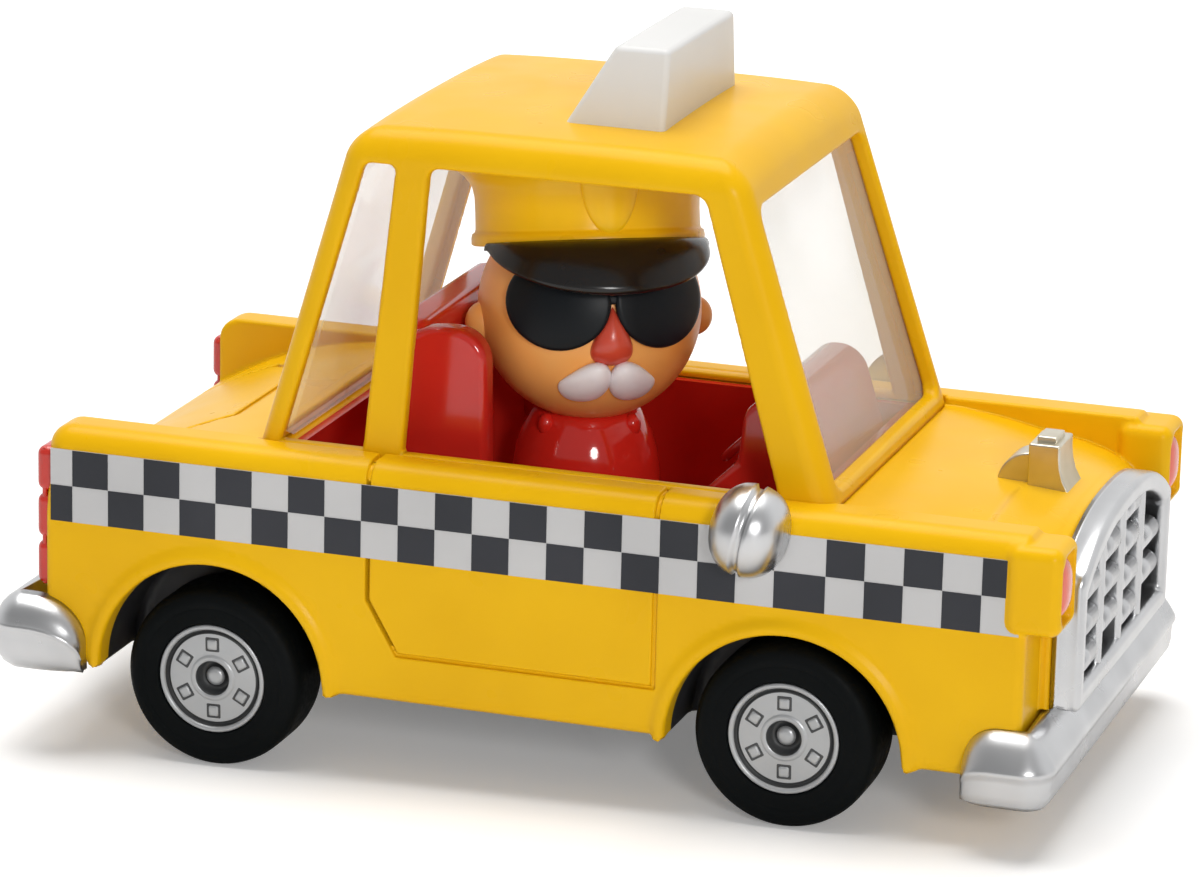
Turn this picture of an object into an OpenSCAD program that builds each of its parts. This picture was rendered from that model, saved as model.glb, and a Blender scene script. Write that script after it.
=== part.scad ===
/* [Stance] */
// Distance between the two axles
wheelbase = 64.3; // [62:0.1:66]
// How far the rear axle lies behind the middle of the car
rear_axle_x = 34.9; // [34:0.1:36]
// Nose-down tilt of the body over its wheels, in degrees
rake = 1.4; // [0:0.1:2]

/* [Wheels] */
// Diameter of the tyres
tyre_d = 20; // [18:0.1:21]
// Width of the tyres
tyre_w = 8.4; // [6:0.1:9]
// How far the outer faces of the wheels lie inside the sides of the body
wheel_in = 0.3; // [0:0.1:1]
// Diameter of the hub, where the tyre is pressed on
hub_d = 12.2; // [10:0.1:14]
// Diameter of the steel axles
axle_d = 3; // [2:0.1:3.4]
// Running clearance all round an axle in its bearings
axle_gap = 0.08; // [0.03:0.01:0.1]

/* [Body] */
// Width over the doors
body_w = 55.4; // [54:0.1:58]
// From the middle of the car back to the rear face of the body
tail_x = 54.3; // [53:0.1:58]
// From the middle of the car forward to the front face of the body
nose_x = 54.8; // [53:0.1:58]
// Height of the underside of the body
sill_z = 8.95; // [8.5:0.05:9.5]
// Height of the top of the fender rails and tail fins
belt_z = 35.5; // [34:0.1:37]
// Width of each fender rail beside the hood and the boot
rail_w = 5.6; // [4.5:0.1:6]
// Thickness of the moulded walls
wall = 1.8; // [1.4:0.1:2.2]
// Room over the tyre inside a wheel arch
arch_gap = 2.9; // [2:0.1:3.2]
// Height of the middle of the hood at its front edge
hood_z = 33.2; // [32:0.1:34]
// Height of the boot lid at its rear edge
boot_z = 28.2; // [26:0.1:31]

/* [Cabin] */
// From the middle of the car forward to the foot of the windscreen
screen_foot_x = 32.9; // [32:0.1:34]
// From the middle of the car back to the foot of the rear window
rear_foot_x = 31.6; // [31:0.1:33]
// How far the feet of the pillars stand in from the sides of the body
cabin_in = 4.5; // [4.2:0.1:5]
// Height of the roof at its middle
roof_z = 71; // [70:0.1:73]
// Slope of the windscreen off the upright, in degrees
screen_lean = 18.4; // [17:0.1:20]
// Slope of the rear window off the upright, in degrees
rear_lean = 15.6; // [14:0.1:17]
// Thickness of the clear panes
pane_t = 1; // [0.6:0.1:1.4]

/* [Roof sign] */
// Width of the sign at its foot
sign_w = 26.2; // [20:0.1:30]
// Height of the sign over the roof
sign_h = 8.3; // [6:0.1:10]
// Depth of the sign at its foot, from front to back
sign_foot_d = 11.6; // [9:0.1:14]
// Depth of the sign at its top
sign_top_d = 6; // [4:0.1:8]

/* [Chrome] */
// Height of the front bumper
front_bumper_h = 8.1; // [7:0.1:9]
// How far the front bumper stands out from the nose
front_bumper_t = 4; // [3:0.1:5]
// Height of the rear bumper
rear_bumper_h = 8.6; // [7:0.1:9]
// How far the rear bumper stands out from the tail
rear_bumper_t = 6; // [4:0.1:7]
// How far both bumpers reach past the sides of the body
bumper_side = 3.3; // [2.5:0.1:4]
// Depth of the grille, from its back to its front face
grille_d = 3.2; // [2.5:0.1:4]
// Number of upright ribs in the grille
grille_ribs = 3; // [3:1:5]
// Height of a door mirror
mirror_h = 10; // [8:0.1:11]
// Length of a door mirror along the car
mirror_l = 8.2; // [6:0.1:9]

/* [Driver] */
// Diameter of the head
head_d = 24.4; // [22:0.1:24.6]
// Height of the middle of the head
head_z = 47.5; // [46.5:0.1:48]
// How far the driver sits behind the middle of the car
driver_x = 1.9; // [1:0.1:2.4]
// Turn of the face away from straight ahead, in degrees
face_turn = -60; // [-80:1:0]

/* [Stripe] */
// Height of one row of checks in the side stripe
check_h = 4.03; // [3.6:0.01:4.1]
// Length of one check along the stripe
check_l = 4.15; // [4.1:0.01:4.2]
// Thickness of the stripe
stripe_t = 0.15; // [0.1:0.01:0.3]

/* [Hidden] */
$fn = 64;

// Colours
yellow = "#f3bd11";
pearl = "#e9e9e7";
chrome = "#c9ccd0";
red = "#c8201c";
black = "#16181b";

// Steps in one rounded corner of an outline
arc_steps = 6;
// Facets round a ball inside a blended form
blend_fn = 32;
// How far a cut runs past the face that it opens
over = 1;
// Gap round a piece that drops into another
seat_gap = 0.15;

// Wheels and axles
axle_z = tyre_d / 2;
front_axle_x = wheelbase - rear_axle_x;
axle_r = axle_d / 2;
axle_end_in = 2.6;
well_gap = 1.9;
tyre_shoulder_r = 1.6;
hub_r = hub_d / 2;
hub_rim_w = 0.9;
hub_dish = 1.1;
hub_wall = 1.2;
hub_web_t = 3;
hub_ring_r = 2.5;
hub_ring_h = 0.5;
hub_cup_r = 2;
hub_cup_d = 0.7;
hub_boss_r = 2.5;
hub_boss_gap = 0.3;
hub_nubs = 6;
hub_nub_side = 1.2;
hub_nub_h = 0.6;
hub_nub_ring_share = 0.66;

// Base plate, its bearings and its screws
plate_t = 1.8;
plate_wall = 1.5;
plate_side_in = 3.7;
plate_x = 47.6;
plate_arch_gap = 2.4;
bearing_r = 3.2;
bearing_l = 4.6;
slot_gap = 0.5;
screw_axle_gap = 9.8;
screw_y = 8;
screw_r = 1;
screw_head_r = 2.2;
screw_head_h = 1.1;
screw_l = 8;
screw_slot_w = 0.5;
screw_slot_d = 0.4;
post_r = 2.6;

// Body
half_w = body_w / 2;
wheel_y = half_w - wheel_in;
well_in_y = wheel_y - tyre_w - well_gap;
plate_y = well_in_y - plate_wall;
plate_wide_y = half_w - plate_side_in;
shoulder_r = 2.4;
corner_r = 1;
fin_r = 2.6;
end_r = 1.2;
fold_in = 0.8;
fold_h = 0.9;
bay_y = half_w - rail_w;
bay_depth = 13;
bay_z = belt_z - bay_depth;
bay_lap = 0.6;
hood_slab = 0.6;
hood_bend_in = 2.8;
hood_bend_rise = 0.3;
hood_bend_fall = 1.4;
hood_lip = 1.2;
hood_fall = 6.8;
hood_power = 2.6;
hood_steps = 10;
hood_front_x = nose_x + hood_lip;
nose_side_gap = 0.5;
boot_in = 0.8;
boot_power = 2.1;
boot_steps = 8;
lid_front_in = 7.4;
lid_y = 15.5;
lid_corner = 5.5;
arch_r = tyre_d / 2 + arch_gap;
arch_rise = 0.25;
arch_z = sill_z + arch_rise;
arch_lip_w = 1.3;
arch_lip_t = 0.45;
deep_front_x = 13.4;
floor_h = 5.6;
floor_z = sill_z + floor_h;
shelf_z = arch_z + arch_r + wall;
cavity_gap = 0.2;
cavity_x = 46;
groove_w = 0.55;
groove_d = 0.5;
door_back_x = 17;
door_front_x = 15.05;
door_foot_h = 5.65;
door_kink_h = 11.4;
door_kink_in = 3.4;

// Headlamps and tail lamps
lamp_back = 0.5;
lamp_l = 4.3;
lamp_w = 7.4;
lamp_h = 9.4;
lamp_drop = 0.7;
lamp_proud = 0.8;
lamp_r = 1.6;
lamp_rim = 1;
lamp_recess = 1.6;
lamp_x = nose_x - lamp_back;
lamp_y = half_w + lamp_proud - lamp_w / 2;
lamp_z = belt_z - lamp_drop - lamp_h / 2;
nose_block_y = lamp_y - lamp_w / 2 - nose_side_gap;
lens_bulge = 1.2;
lens_ball_r = 9;
lens_gap = 0.1;
tail_lobes = 3;
tail_lobe_h = 5.3;
tail_lobe_r = 1.1;
tail_lamp_w = 4.4;
tail_lamp_t = 1.3;
tail_back_t = 0.6;
tail_dome_r = 4.2;
tail_lobe_gap = 0.24;
tail_lamp_drop = 2.4;
tail_lamp_in = 0.5;

// Cabin
cabin_sink = 0.9;
cabin_z = belt_z - cabin_sink;
cabin_half = half_w - cabin_in;
cabin_corner_r = 2.4;
foot_t = 0.4;
foot_z = cabin_z + foot_t;
side_lean = 1.6;
roof_r = 4;
roof_crown = 1.5;
crown_in = 9;
crown_t = 0.4;
ball_z = roof_z - roof_crown - roof_r;
front_ball_x = screen_foot_x - (ball_z - foot_z) * tan(screen_lean) - roof_r / cos(screen_lean);
rear_ball_x = rear_foot_x - (ball_z - foot_z) * tan(rear_lean) - roof_r / cos(rear_lean);
ball_y = cabin_half - (ball_z - foot_z) * tan(side_lean) - roof_r / cos(side_lean);
well_y = cabin_half - wall;
well_lip = 3;
well_front_x = screen_foot_x - well_lip;
well_back_x = rear_foot_x - well_lip;
window_drop = 4.9;
window_z = roof_z - window_drop;
window_foot_z = cabin_z + cabin_sink;
window_r = 1.4;
pillar_a_foot = 6.2;
pillar_a_top = 4.9;
pillar_b_foot = 4.5;
pillar_b_top = 3.7;
pillar_b_foot_x = 15;
pillar_b_top_x = 12.8;
pillar_c = 2.8;
screen_drop = 5.7;
screen_z = roof_z - screen_drop;
screen_rim = 2.8;
screen_foot_rim = 0.7;
pane_lap = 0.6;
pane_gap = 0.05;

// Roof sign
sign_x = 10.1;
sign_taper = 1.5;
sign_r = 0.7;
sign_sink = 2;

// Hood ornament
ornament_x = 48.4;
tower_w = 6;
tower_d = 3.4;
tower_h = 5.6;
tower_foot = 1.4;
tower_step = 0.6;
tower_step_in = 1.2;
tower_curve_steps = 6;
fin_disc_r = 3.8;
fin_y = 2;

// Grille, bumpers and mirrors
grille_side_gap = 0.6;
grille_half = lamp_y - lamp_w / 2 - grille_side_gap;
grille_proud = 0.7;
grille_rim = 2.4;
grille_back_t = 0.8;
grille_rib_w = 1.2;
grille_rib_in = 0.7;
grille_bar_r = 1.1;
grille_bar_in = 0.3;
grille_pitch = 4.1;
grille_rows = 5;
front_bumper_z = 6.95;
front_bumper_back_x = 49;
front_bumper_r = 3.4;
front_end_r = 2.6;
front_bumper_shares = [[0.7, 0], [0.84, 0.16], [0.84, 0.4], [1, 0.5], [0.86, 0.64], [0.6, 0.86], [0.3, 1]];
rear_bumper_z = 8.1;
rear_bumper_back_x = 49.4;
rear_bumper_r = 3.6;
rear_end_r = 3;
rear_bumper_shares = [[0.5, 0], [0.85, 0.14], [1, 0.34], [0.97, 0.5], [0.9, 0.72], [0.6, 0.92], [0.35, 1]];
mirror_x = 25.5;
mirror_drop = 2.1;
mirror_out = 0.9;
mirror_tilt = 12;
mirror_power = 2.3;
mirror_steps = 12;
mirror_groove_w = 0.6;
mirror_groove_d = 0.5;

// Stripe
stripe_top_drop = 2.35;
stripe_z = belt_z - stripe_top_drop - 2 * check_h;
stripe_back_x = tail_x - corner_r + seat_gap;
stripe_joint_x = 17.7;
stripe_fender_x = 33.5;
stripe_front_x = lamp_x - seat_gap;
check_gap = 0.02;
check_t = 0.06;
rear_checks = 9;
door_checks = 12;
front_checks = 5;

// Driver
head_r = head_d / 2;
head_gap = 0.08;
ear_share = 0.18;
ear_in_share = 0.04;
ear_drop_share = 0.1;
ear_back_share = 0.03;
torso_share = 0.68;
torso_bulge_share = 0.5;
torso_mid_share = 0.4;
torso_steps = 14;
torso_lap_share = 0.13;
neck_r = 2.2;
neck_l = 4;
neck_gap = 0.05;
cap_rise = 0.566 * head_r;
cap_band_t = 0.5;
cap_band_r = head_r + cap_band_t;
cap_band_h = 2;
cap_flare = 2;
cap_h = 0.9 * head_r;
cap_shoulder_share = 0.73;
cap_crown_share = 0.74;
cap_r = 1.8;
badge_t = 0.6;
badge_share = 0.69;
badge_neck_share = 0.83;
badge_h_share = 0.64;
badge_foot_share = 0.11;
visor_t = 1;
visor_out = 0.3 * head_r;
visor_fall = 0.377 * head_r;
visor_rise = 0.4;
visor_shift = 0.344 * head_r;
lens_share = 0.443;
lens_side_share = 0.467;
lens_rise_share = 0.066;
lens_t = 1;
bridge_share = 0.1;
bridge_w_share = 0.25;
nose_top_share = 0.037;
nose_top_drop_share = 0.1;
nose_ball_share = 0.1;
nose_side_share = 0.094;
nose_drop_share = 0.4;
nose_out_share = 0.057;
moustache_share = 0.164;
moustache_tip_share = 0.1;
moustache_side_share = 0.148;
moustache_tip_side_share = 0.41;
moustache_drop_share = 0.68;
moustache_tip_drop_share = 0.787;
moustache_out_share = 0.025;

// Interior
tub_t = 1.2;
seat_side_gap = 4.2;
seat_y = well_y - tub_t - seat_side_gap;
seat_t = 5.4;
seat_front = 6;
seat_cushion_h = 5;
seat_top_z = 47.8;
seat_r = 2.4;
seat_edge_r = 0.8;
seat_top_r = 3.2;
wing_w = 3.2;
wing_lap = 1;
wing_front = 7.6;
wing_lean = 0.7;
wing_r = 4.2;
seat_lean = 5;
seat_head_gap = 0.8;
seat_foot_z = floor_z + tub_t;
seat_shift = (seat_top_z - seat_foot_z) * tan(seat_lean);
seat_back_x = driver_x + head_r + seat_head_gap + seat_t - seat_shift;
seat_back_gap = 2.2;
deep_back_x = seat_back_x + seat_back_gap;
dash_side_gap = 6.7;
dash_y = well_y - tub_t - dash_side_gap;
dash_back_x = 14.4;
dash_top_x = 19.2;
dash_z = 35.9;
dash_front_z = 33.4;
dash_edge_z = 31.2;
cowl_z = 43;
cowl_l = 5.4;
cowl_in = 0.8;
cowl_r = 2.6;
dash_r = 0.9;
column_r = 0.9;
column_l = 1.1;
wheel_rim_r = 2.6;
wheel_rim_t = 0.6;
wheel_spoke_w = 0.9;

// Outline with its corners rounded off, each by its own radius
function unit(v) = v / norm(v);
function corner(a, p, b, r) =
    r == 0 ? [p] :
    let (
        u = unit(a - p),
        w = unit(b - p),
        half = acos(u * w) / 2,
        c = p + unit(u + w) * r / sin(half),
        s = p + u * r / tan(half),
        e = p + w * r / tan(half),
        from = atan2(s.y - c.y, s.x - c.x),
        turn = atan2(e.y - c.y, e.x - c.x) - from,
        sweep = turn > 180 ? turn - 360 : turn < -180 ? turn + 360 : turn
    )
    [for (i = [0:arc_steps]) c + r * [cos(from + sweep * i / arc_steps), sin(from + sweep * i / arc_steps)]];
function rounded(pts, r) =
    let (n = len(pts))
    [for (i = [0:n - 1]) each corner(pts[(i + n - 1) % n], pts[i], pts[(i + 1) % n], is_list(r) ? r[i] : r)];
function box_points(w, h) = [[-w / 2, -h / 2], [w / 2, -h / 2], [w / 2, h / 2], [-w / 2, h / 2]];
function swell(t, power) = pow(max(0, 1 - pow(abs(t), power)), 1 / power);

// An outline drawn in X and Z, run across the car
module along_y(w) {
    rotate([90, 0, 0]) linear_extrude(w, center = true) children();
}

// An outline drawn in Y and Z, run forward along the car
module along_x(l) {
    rotate([90, 0, 90]) linear_extrude(l) children();
}

// The body's own frame, tilted about the middle of the axle line
module raked() {
    translate([0, 0, axle_z]) rotate([0, rake, 0]) translate([0, 0, -axle_z]) children();
}

module on_side(side) {
    if (side > 0) children();
    else mirror([0, 1, 0]) children();
}

module both_sides() {
    children();
    mirror([0, 1, 0]) children();
}

module stroke(a, b, w) {
    translate(a)
        rotate(atan2(b.y - a.y, b.x - a.x))
            translate([-w / 2, -w / 2]) square([norm(b - a) + w, w]);
}

// Body shell

module body_block() {
    intersection() {
        translate([-tail_x - over, 0, 0]) along_x(tail_x + nose_x + 2 * over) polygon(rounded([
            [-half_w + fold_in, sill_z], [half_w - fold_in, sill_z], [half_w, sill_z + fold_h],
            [half_w, belt_z], [-half_w, belt_z], [-half_w, sill_z + fold_h]
        ], [0, 0, 0, shoulder_r, shoulder_r, 0]));
        translate([0, 0, sill_z - over]) linear_extrude(belt_z - sill_z + 2 * over) polygon(rounded(
            [[-tail_x, -half_w], [nose_x, -half_w], [nose_x, half_w], [-tail_x, half_w]], corner_r));
        along_y(body_w + 2 * over) polygon(rounded(
            [[-tail_x, sill_z], [nose_x, sill_z], [nose_x, belt_z], [-tail_x, belt_z]],
            [end_r, end_r, 0, fin_r]));
    }
}

// Bays between the rails, which the hood and the boot lid fill
module open_bays() {
    for (x = [[-tail_x - over, -well_back_x], [well_front_x, nose_x + over]])
        translate([x[0], -bay_y, bay_z]) cube([x[1] - x[0], 2 * bay_y, bay_depth + over]);
}

function hood_line(half, top, fall) = [
    for (i = [hood_steps:-1:-hood_steps])
        [half * i / hood_steps, top - fall * pow(abs(i) / hood_steps, hood_power)]
];

module hood_slice(x, top, fall) {
    half = bay_y + bay_lap;
    foot = bay_z - bay_lap;
    translate([x, 0, 0]) along_x(hood_slab)
        polygon(concat([[-half, foot], [half, foot]], hood_line(half, top, fall)));
}

module hood_panel() {
    hull() {
        hood_slice(well_front_x, cabin_z, 0);
        hood_slice(screen_foot_x, cabin_z, 0);
        hood_slice(nose_x - hood_bend_in, hood_z + hood_bend_rise, hood_bend_fall);
        hood_slice(hood_front_x - hood_slab, hood_z, hood_fall);
    }
}

function boot_line() = [
    for (i = [0:boot_steps])
        let (s = i / boot_steps)
        [
            -rear_foot_x - s * (tail_x - boot_in - rear_foot_x),
            boot_z + (cabin_z - boot_z) * (1 - pow(s, boot_power))
        ]
];

module boot_panel(drop) {
    foot = bay_z - bay_lap;
    translate([0, 0, -drop]) along_y(2 * (bay_y + bay_lap)) polygon(concat(
        [[-well_back_x, foot], [-well_back_x, cabin_z]], boot_line(), [[-tail_x + boot_in, foot]]));
}

module lamp_outline(inset) {
    polygon(rounded(box_points(lamp_w - 2 * inset, lamp_h - 2 * inset), lamp_r - inset / 2));
}

module lamp_boxes() {
    both_sides() translate([lamp_x, lamp_y, lamp_z]) along_x(lamp_l) lamp_outline(0);
}

module lamp_recesses() {
    both_sides() translate([lamp_x + lamp_l - lamp_recess, lamp_y, lamp_z])
        along_x(lamp_recess + over) lamp_outline(lamp_rim);
}

module nose_block() {
    top = front_bumper_z + front_bumper_h;
    translate([nose_x - over, -nose_block_y, top])
        cube([hood_lip + over, 2 * nose_block_y, bay_z - top + bay_lap]);
}

module at_arches() {
    for (x = [-rear_axle_x, front_axle_x]) translate([x, 0, arch_z]) rotate([-90, 0, 0]) children();
}

module arch_lips() {
    intersection() {
        both_sides() at_arches() translate([0, 0, half_w - over])
            cylinder(r = arch_r + arch_lip_w, h = over + arch_lip_t);
        translate([-tail_x, -body_w, sill_z]) cube([tail_x + nose_x, 2 * body_w, belt_z - sill_z]);
    }
}

module wheel_wells() {
    both_sides() at_arches() translate([0, 0, well_in_y]) cylinder(r = arch_r, h = half_w - well_in_y + over);
}

module cabin_seat() {
    translate([0, 0, cabin_z]) linear_extrude(cabin_sink + over) polygon(rounded([
        [-rear_foot_x - seat_gap, -cabin_half - seat_gap], [screen_foot_x + seat_gap, -cabin_half - seat_gap],
        [screen_foot_x + seat_gap, cabin_half + seat_gap], [-rear_foot_x - seat_gap, cabin_half + seat_gap]
    ], cabin_corner_r));
}

// Stepped outline of the cabin well in X and Z, its ends drawn in and its floors raised
function well_outline(inset, rise, top) = [
    [-well_back_x + inset, top], [-well_back_x + inset, shelf_z + rise],
    [-deep_back_x + inset, shelf_z + rise], [-deep_back_x + inset, floor_z + rise],
    [deep_front_x - inset, floor_z + rise], [deep_front_x - inset, shelf_z + rise],
    [well_front_x - inset, shelf_z + rise], [well_front_x - inset, top]
];

module under_cavity() {
    roof = bay_z - wall;
    low = floor_z - wall;
    along_y(2 * (plate_y + cavity_gap)) polygon([
        [-cavity_x, sill_z - over], [cavity_x, sill_z - over], [cavity_x, roof], [deep_front_x + wall, roof],
        [deep_front_x + wall, low], [-deep_back_x - wall, low], [-deep_back_x - wall, roof], [-cavity_x, roof]
    ]);
}

function plate_outline(grow) =
    let (
        y = plate_y + grow,
        wide = plate_wide_y + grow,
        back = -rear_axle_x + arch_r + plate_arch_gap - grow,
        front = front_axle_x - arch_r - plate_arch_gap + grow,
        end = plate_x + grow
    )
    [
        [-end, -y], [back, -y], [back, -wide], [front, -wide], [front, -y], [end, -y],
        [end, y], [front, y], [front, wide], [back, wide], [back, y], [-end, y]
    ];

module door_grooves() {
    top = belt_z + over;
    foot = sill_z + door_foot_h;
    kink = sill_z + door_kink_h;
    path = [
        [-door_back_x, top], [-door_back_x, kink], [-door_back_x + door_kink_in, foot],
        [door_front_x, foot], [door_front_x, top]
    ];
    both_sides() translate([0, half_w - groove_d / 2 + over / 2, 0]) along_y(groove_d + over)
        for (i = [0:len(path) - 2]) stroke(path[i], path[i + 1], groove_w);
}

module lid_groove() {
    front = -rear_foot_x - lid_front_in;
    path = [
        [-tail_x, -lid_y], [front - lid_corner, -lid_y], [front, -lid_y + lid_corner],
        [front, lid_y - lid_corner], [front - lid_corner, lid_y], [-tail_x, lid_y]
    ];
    intersection() {
        translate([0, 0, bay_z]) linear_extrude(bay_depth)
            for (i = [0:len(path) - 2]) stroke(path[i], path[i + 1], groove_w);
        difference() {
            boot_panel(-over);
            boot_panel(groove_d);
        }
    }
}

module axle_slots() {
    for (x = [-rear_axle_x, front_axle_x]) both_sides() translate([x, plate_y, axle_z]) {
        rotate([-90, 0, 0]) cylinder(r = hub_boss_r + slot_gap, h = well_in_y - plate_y + over);
        translate([-hub_boss_r - slot_gap, 0, -axle_z])
            cube([2 * (hub_boss_r + slot_gap), well_in_y - plate_y + over, axle_z]);
    }
}

module at_screws() {
    for (x = [screw_axle_gap - rear_axle_x, front_axle_x - screw_axle_gap]) for (y = [-screw_y, screw_y])
        translate([x, y, sill_z]) children();
}

module screw_posts() {
    roof = bay_z - wall + bay_lap;
    at_screws() translate([0, 0, plate_t]) cylinder(r = post_r, h = roof - sill_z - plate_t);
}

module screw_holes() {
    at_screws() cylinder(r = screw_r, h = screw_l + over);
}

module body_shell() {
    color(yellow) difference() {
        raked() difference() {
            union() {
                difference() {
                    union() {
                        difference() {
                            body_block();
                            open_bays();
                        }
                        hood_panel();
                        boot_panel(0);
                        nose_block();
                        lamp_boxes();
                        arch_lips();
                    }
                    wheel_wells();
                    cabin_seat();
                    along_y(2 * well_y) polygon(well_outline(0, 0, belt_z + over));
                    under_cavity();
                    lamp_recesses();
                    door_grooves();
                    lid_groove();
                }
                screw_posts();
            }
            translate([0, 0, sill_z - over]) linear_extrude(plate_t + over) polygon(plate_outline(seat_gap));
            screw_holes();
        }
        axle_slots();
    }
}

// Cabin frame and its panes

function screen_x(z) = screen_foot_x - (z - foot_z) * tan(screen_lean);
function rear_x(z) = rear_foot_x - (z - foot_z) * tan(rear_lean);
function side_y(z) = cabin_half - (z - foot_z) * tan(side_lean);

// Plan of the cabin at one height, drawn in by the given amount
function cabin_plan(z, inset) =
    let (
        front = screen_x(z) - inset / cos(screen_lean),
        back = -rear_x(z) + inset / cos(rear_lean),
        side = side_y(z) - inset / cos(side_lean)
    )
    [[back, -side], [front, -side], [front, side], [back, side]];

module cabin_crown(drop) {
    translate([-rear_ball_x + crown_in, -ball_y + crown_in, roof_z - drop - crown_t])
        cube([rear_ball_x + front_ball_x - 2 * crown_in, 2 * (ball_y - crown_in), crown_t]);
}

module cabin_outside() {
    hull() {
        translate([0, 0, cabin_z]) linear_extrude(foot_t)
            polygon(rounded(cabin_plan(foot_z, 0), cabin_corner_r));
        for (x = [-rear_ball_x, front_ball_x]) for (y = [-ball_y, ball_y])
            translate([x, y, ball_z]) sphere(roof_r, $fn = blend_fn);
        cabin_crown(0);
    }
}

module cabin_inside() {
    ceiling = roof_z - roof_crown - wall;
    hull() {
        translate([0, 0, cabin_z - over]) linear_extrude(foot_t + over) polygon(cabin_plan(foot_z, wall));
        translate([0, 0, ceiling - crown_t]) linear_extrude(crown_t) polygon(cabin_plan(ceiling, wall));
        cabin_crown(wall);
    }
}

module side_windows() {
    along_y(body_w) {
        polygon(rounded([
            [-rear_foot_x + pillar_c, window_foot_z], [-pillar_b_foot_x - pillar_b_foot, window_foot_z],
            [-pillar_b_top_x - pillar_b_top, window_z], [-rear_x(window_z) + pillar_c, window_z]
        ], [0, 0, window_r / 2, window_r / 2]));
        polygon(rounded([
            [-pillar_b_foot_x, window_foot_z], [screen_foot_x - pillar_a_foot, window_foot_z],
            [screen_x(window_z) - pillar_a_top, window_z], [-pillar_b_top_x, window_z]
        ], [0, 0, window_r, window_r / 2]));
    }
}

module end_window(l) {
    foot = window_foot_z + screen_foot_rim;
    along_x(l) polygon(rounded([
        [-side_y(foot) + screen_rim, foot], [side_y(foot) - screen_rim, foot],
        [side_y(screen_z) - screen_rim, screen_z], [-side_y(screen_z) + screen_rim, screen_z]
    ], window_r));
}

module cabin_frame() {
    color(yellow) raked() difference() {
        cabin_outside();
        cabin_inside();
        side_windows();
        end_window(screen_foot_x + over);
        mirror([1, 0, 0]) end_window(rear_foot_x + over);
    }
}

// Clear pane against the inner face of a leaning opening
module pane(foot_x, lean) {
    low = (window_foot_z + screen_foot_rim - foot_z) / cos(lean) - pane_lap;
    high = (screen_z - foot_z) / cos(lean) + pane_lap;
    low_y = side_y(window_foot_z) - screen_rim + pane_lap;
    high_y = side_y(screen_z) - screen_rim + pane_lap;
    outline = [[-low_y, low], [low_y, low], [high_y, high], [-high_y, high]];
    translate([foot_x - wall / cos(lean), 0, foot_z]) rotate([0, -lean, 0])
        translate([-pane_t - pane_gap, 0, 0]) along_x(pane_t) polygon(rounded(outline, window_r));
}

module windscreen() {
    color("white", 0.3) raked() pane(screen_foot_x, screen_lean);
}

module rear_window() {
    color("white", 0.3) raked() mirror([1, 0, 0]) pane(rear_foot_x, rear_lean);
}

module roof_sign() {
    top = roof_z + sign_h;
    foot = roof_z - sign_sink;
    half = sign_w / 2;
    back = sign_x - sign_foot_d;
    color(pearl) raked() difference() {
        intersection() {
            along_y(sign_w + 2 * over) polygon(rounded(
                [[back, foot], [sign_x, foot], [sign_x, top], [sign_x - sign_top_d, top]],
                [0, 0, sign_r, sign_r]));
            translate([back - over, 0, 0]) along_x(sign_foot_d + 2 * over) polygon(rounded(
                [[-half, foot], [half, foot], [half - sign_taper, top], [-half + sign_taper, top]],
                [0, 0, sign_r, sign_r]));
        }
        cabin_outside();
    }
}

// Hood ornament: a stepped tower with a round fin behind it

module hood_ornament() {
    foot = hood_z - hood_bend_rise;
    top = hood_z + hood_bend_rise + tower_h;
    curve = [
        for (i = [0:tower_curve_steps])
            let (t = i / tower_curve_steps)
            [ornament_x + tower_d + tower_foot * pow(1 - t, 2), foot + (top - foot) * t / 2]
    ];
    color(chrome) raked() difference() {
        union() {
            along_y(tower_w) polygon(concat(
                [[ornament_x, top - tower_step], [ornament_x, foot]], curve,
                [[ornament_x + tower_d, top - tower_step]]));
            translate([ornament_x + tower_step_in / 2, -tower_w / 2 + tower_step_in, foot])
                cube([tower_d - tower_step_in, tower_w - 2 * tower_step_in, top - foot]);
            translate([ornament_x, 0, foot]) along_y(2 * fin_y) circle(fin_disc_r + hood_bend_rise);
        }
        hood_panel();
    }
}

// Grille: an arched rim round a lattice of upright ribs and staggered bars

module grille_arch(half, top, foot) {
    fall = hood_fall * pow(half / (bay_y + bay_lap), hood_power);
    polygon(concat([[-half, foot], [half, foot]], hood_line(half, top, fall)));
}

module grille_lattice(half, top, foot) {
    pitch = 2 * half / (grille_ribs + 1);
    for (i = [1:grille_ribs])
        translate([0, -half + i * pitch - grille_rib_w / 2, foot])
            cube([grille_d - grille_rib_in, grille_rib_w, top - foot]);
    bar_x = grille_d - grille_bar_r - grille_bar_in;
    for (bay = [0:grille_ribs]) for (row = [0:grille_rows - 1])
        translate([bar_x, -half + bay * pitch, foot + (row + (1 + bay % 2) / 2) * grille_pitch])
            rotate([-90, 0, 0]) cylinder(r = grille_bar_r, h = pitch);
}

module grille() {
    top = hood_z + grille_proud;
    foot = front_bumper_z + front_bumper_h;
    half = grille_half - grille_rim;
    color(chrome) raked() translate([hood_front_x, 0, 0]) {
        difference() {
            along_x(grille_d) grille_arch(grille_half, top, foot);
            translate([grille_back_t, 0, 0]) along_x(grille_d)
                grille_arch(half, top - grille_rim, foot + grille_rim);
        }
        intersection() {
            along_x(grille_d) grille_arch(half + grille_rim / 2, top - grille_rim / 2, foot + grille_rim / 2);
            grille_lattice(half, top, foot + grille_rim);
        }
    }
}

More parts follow.
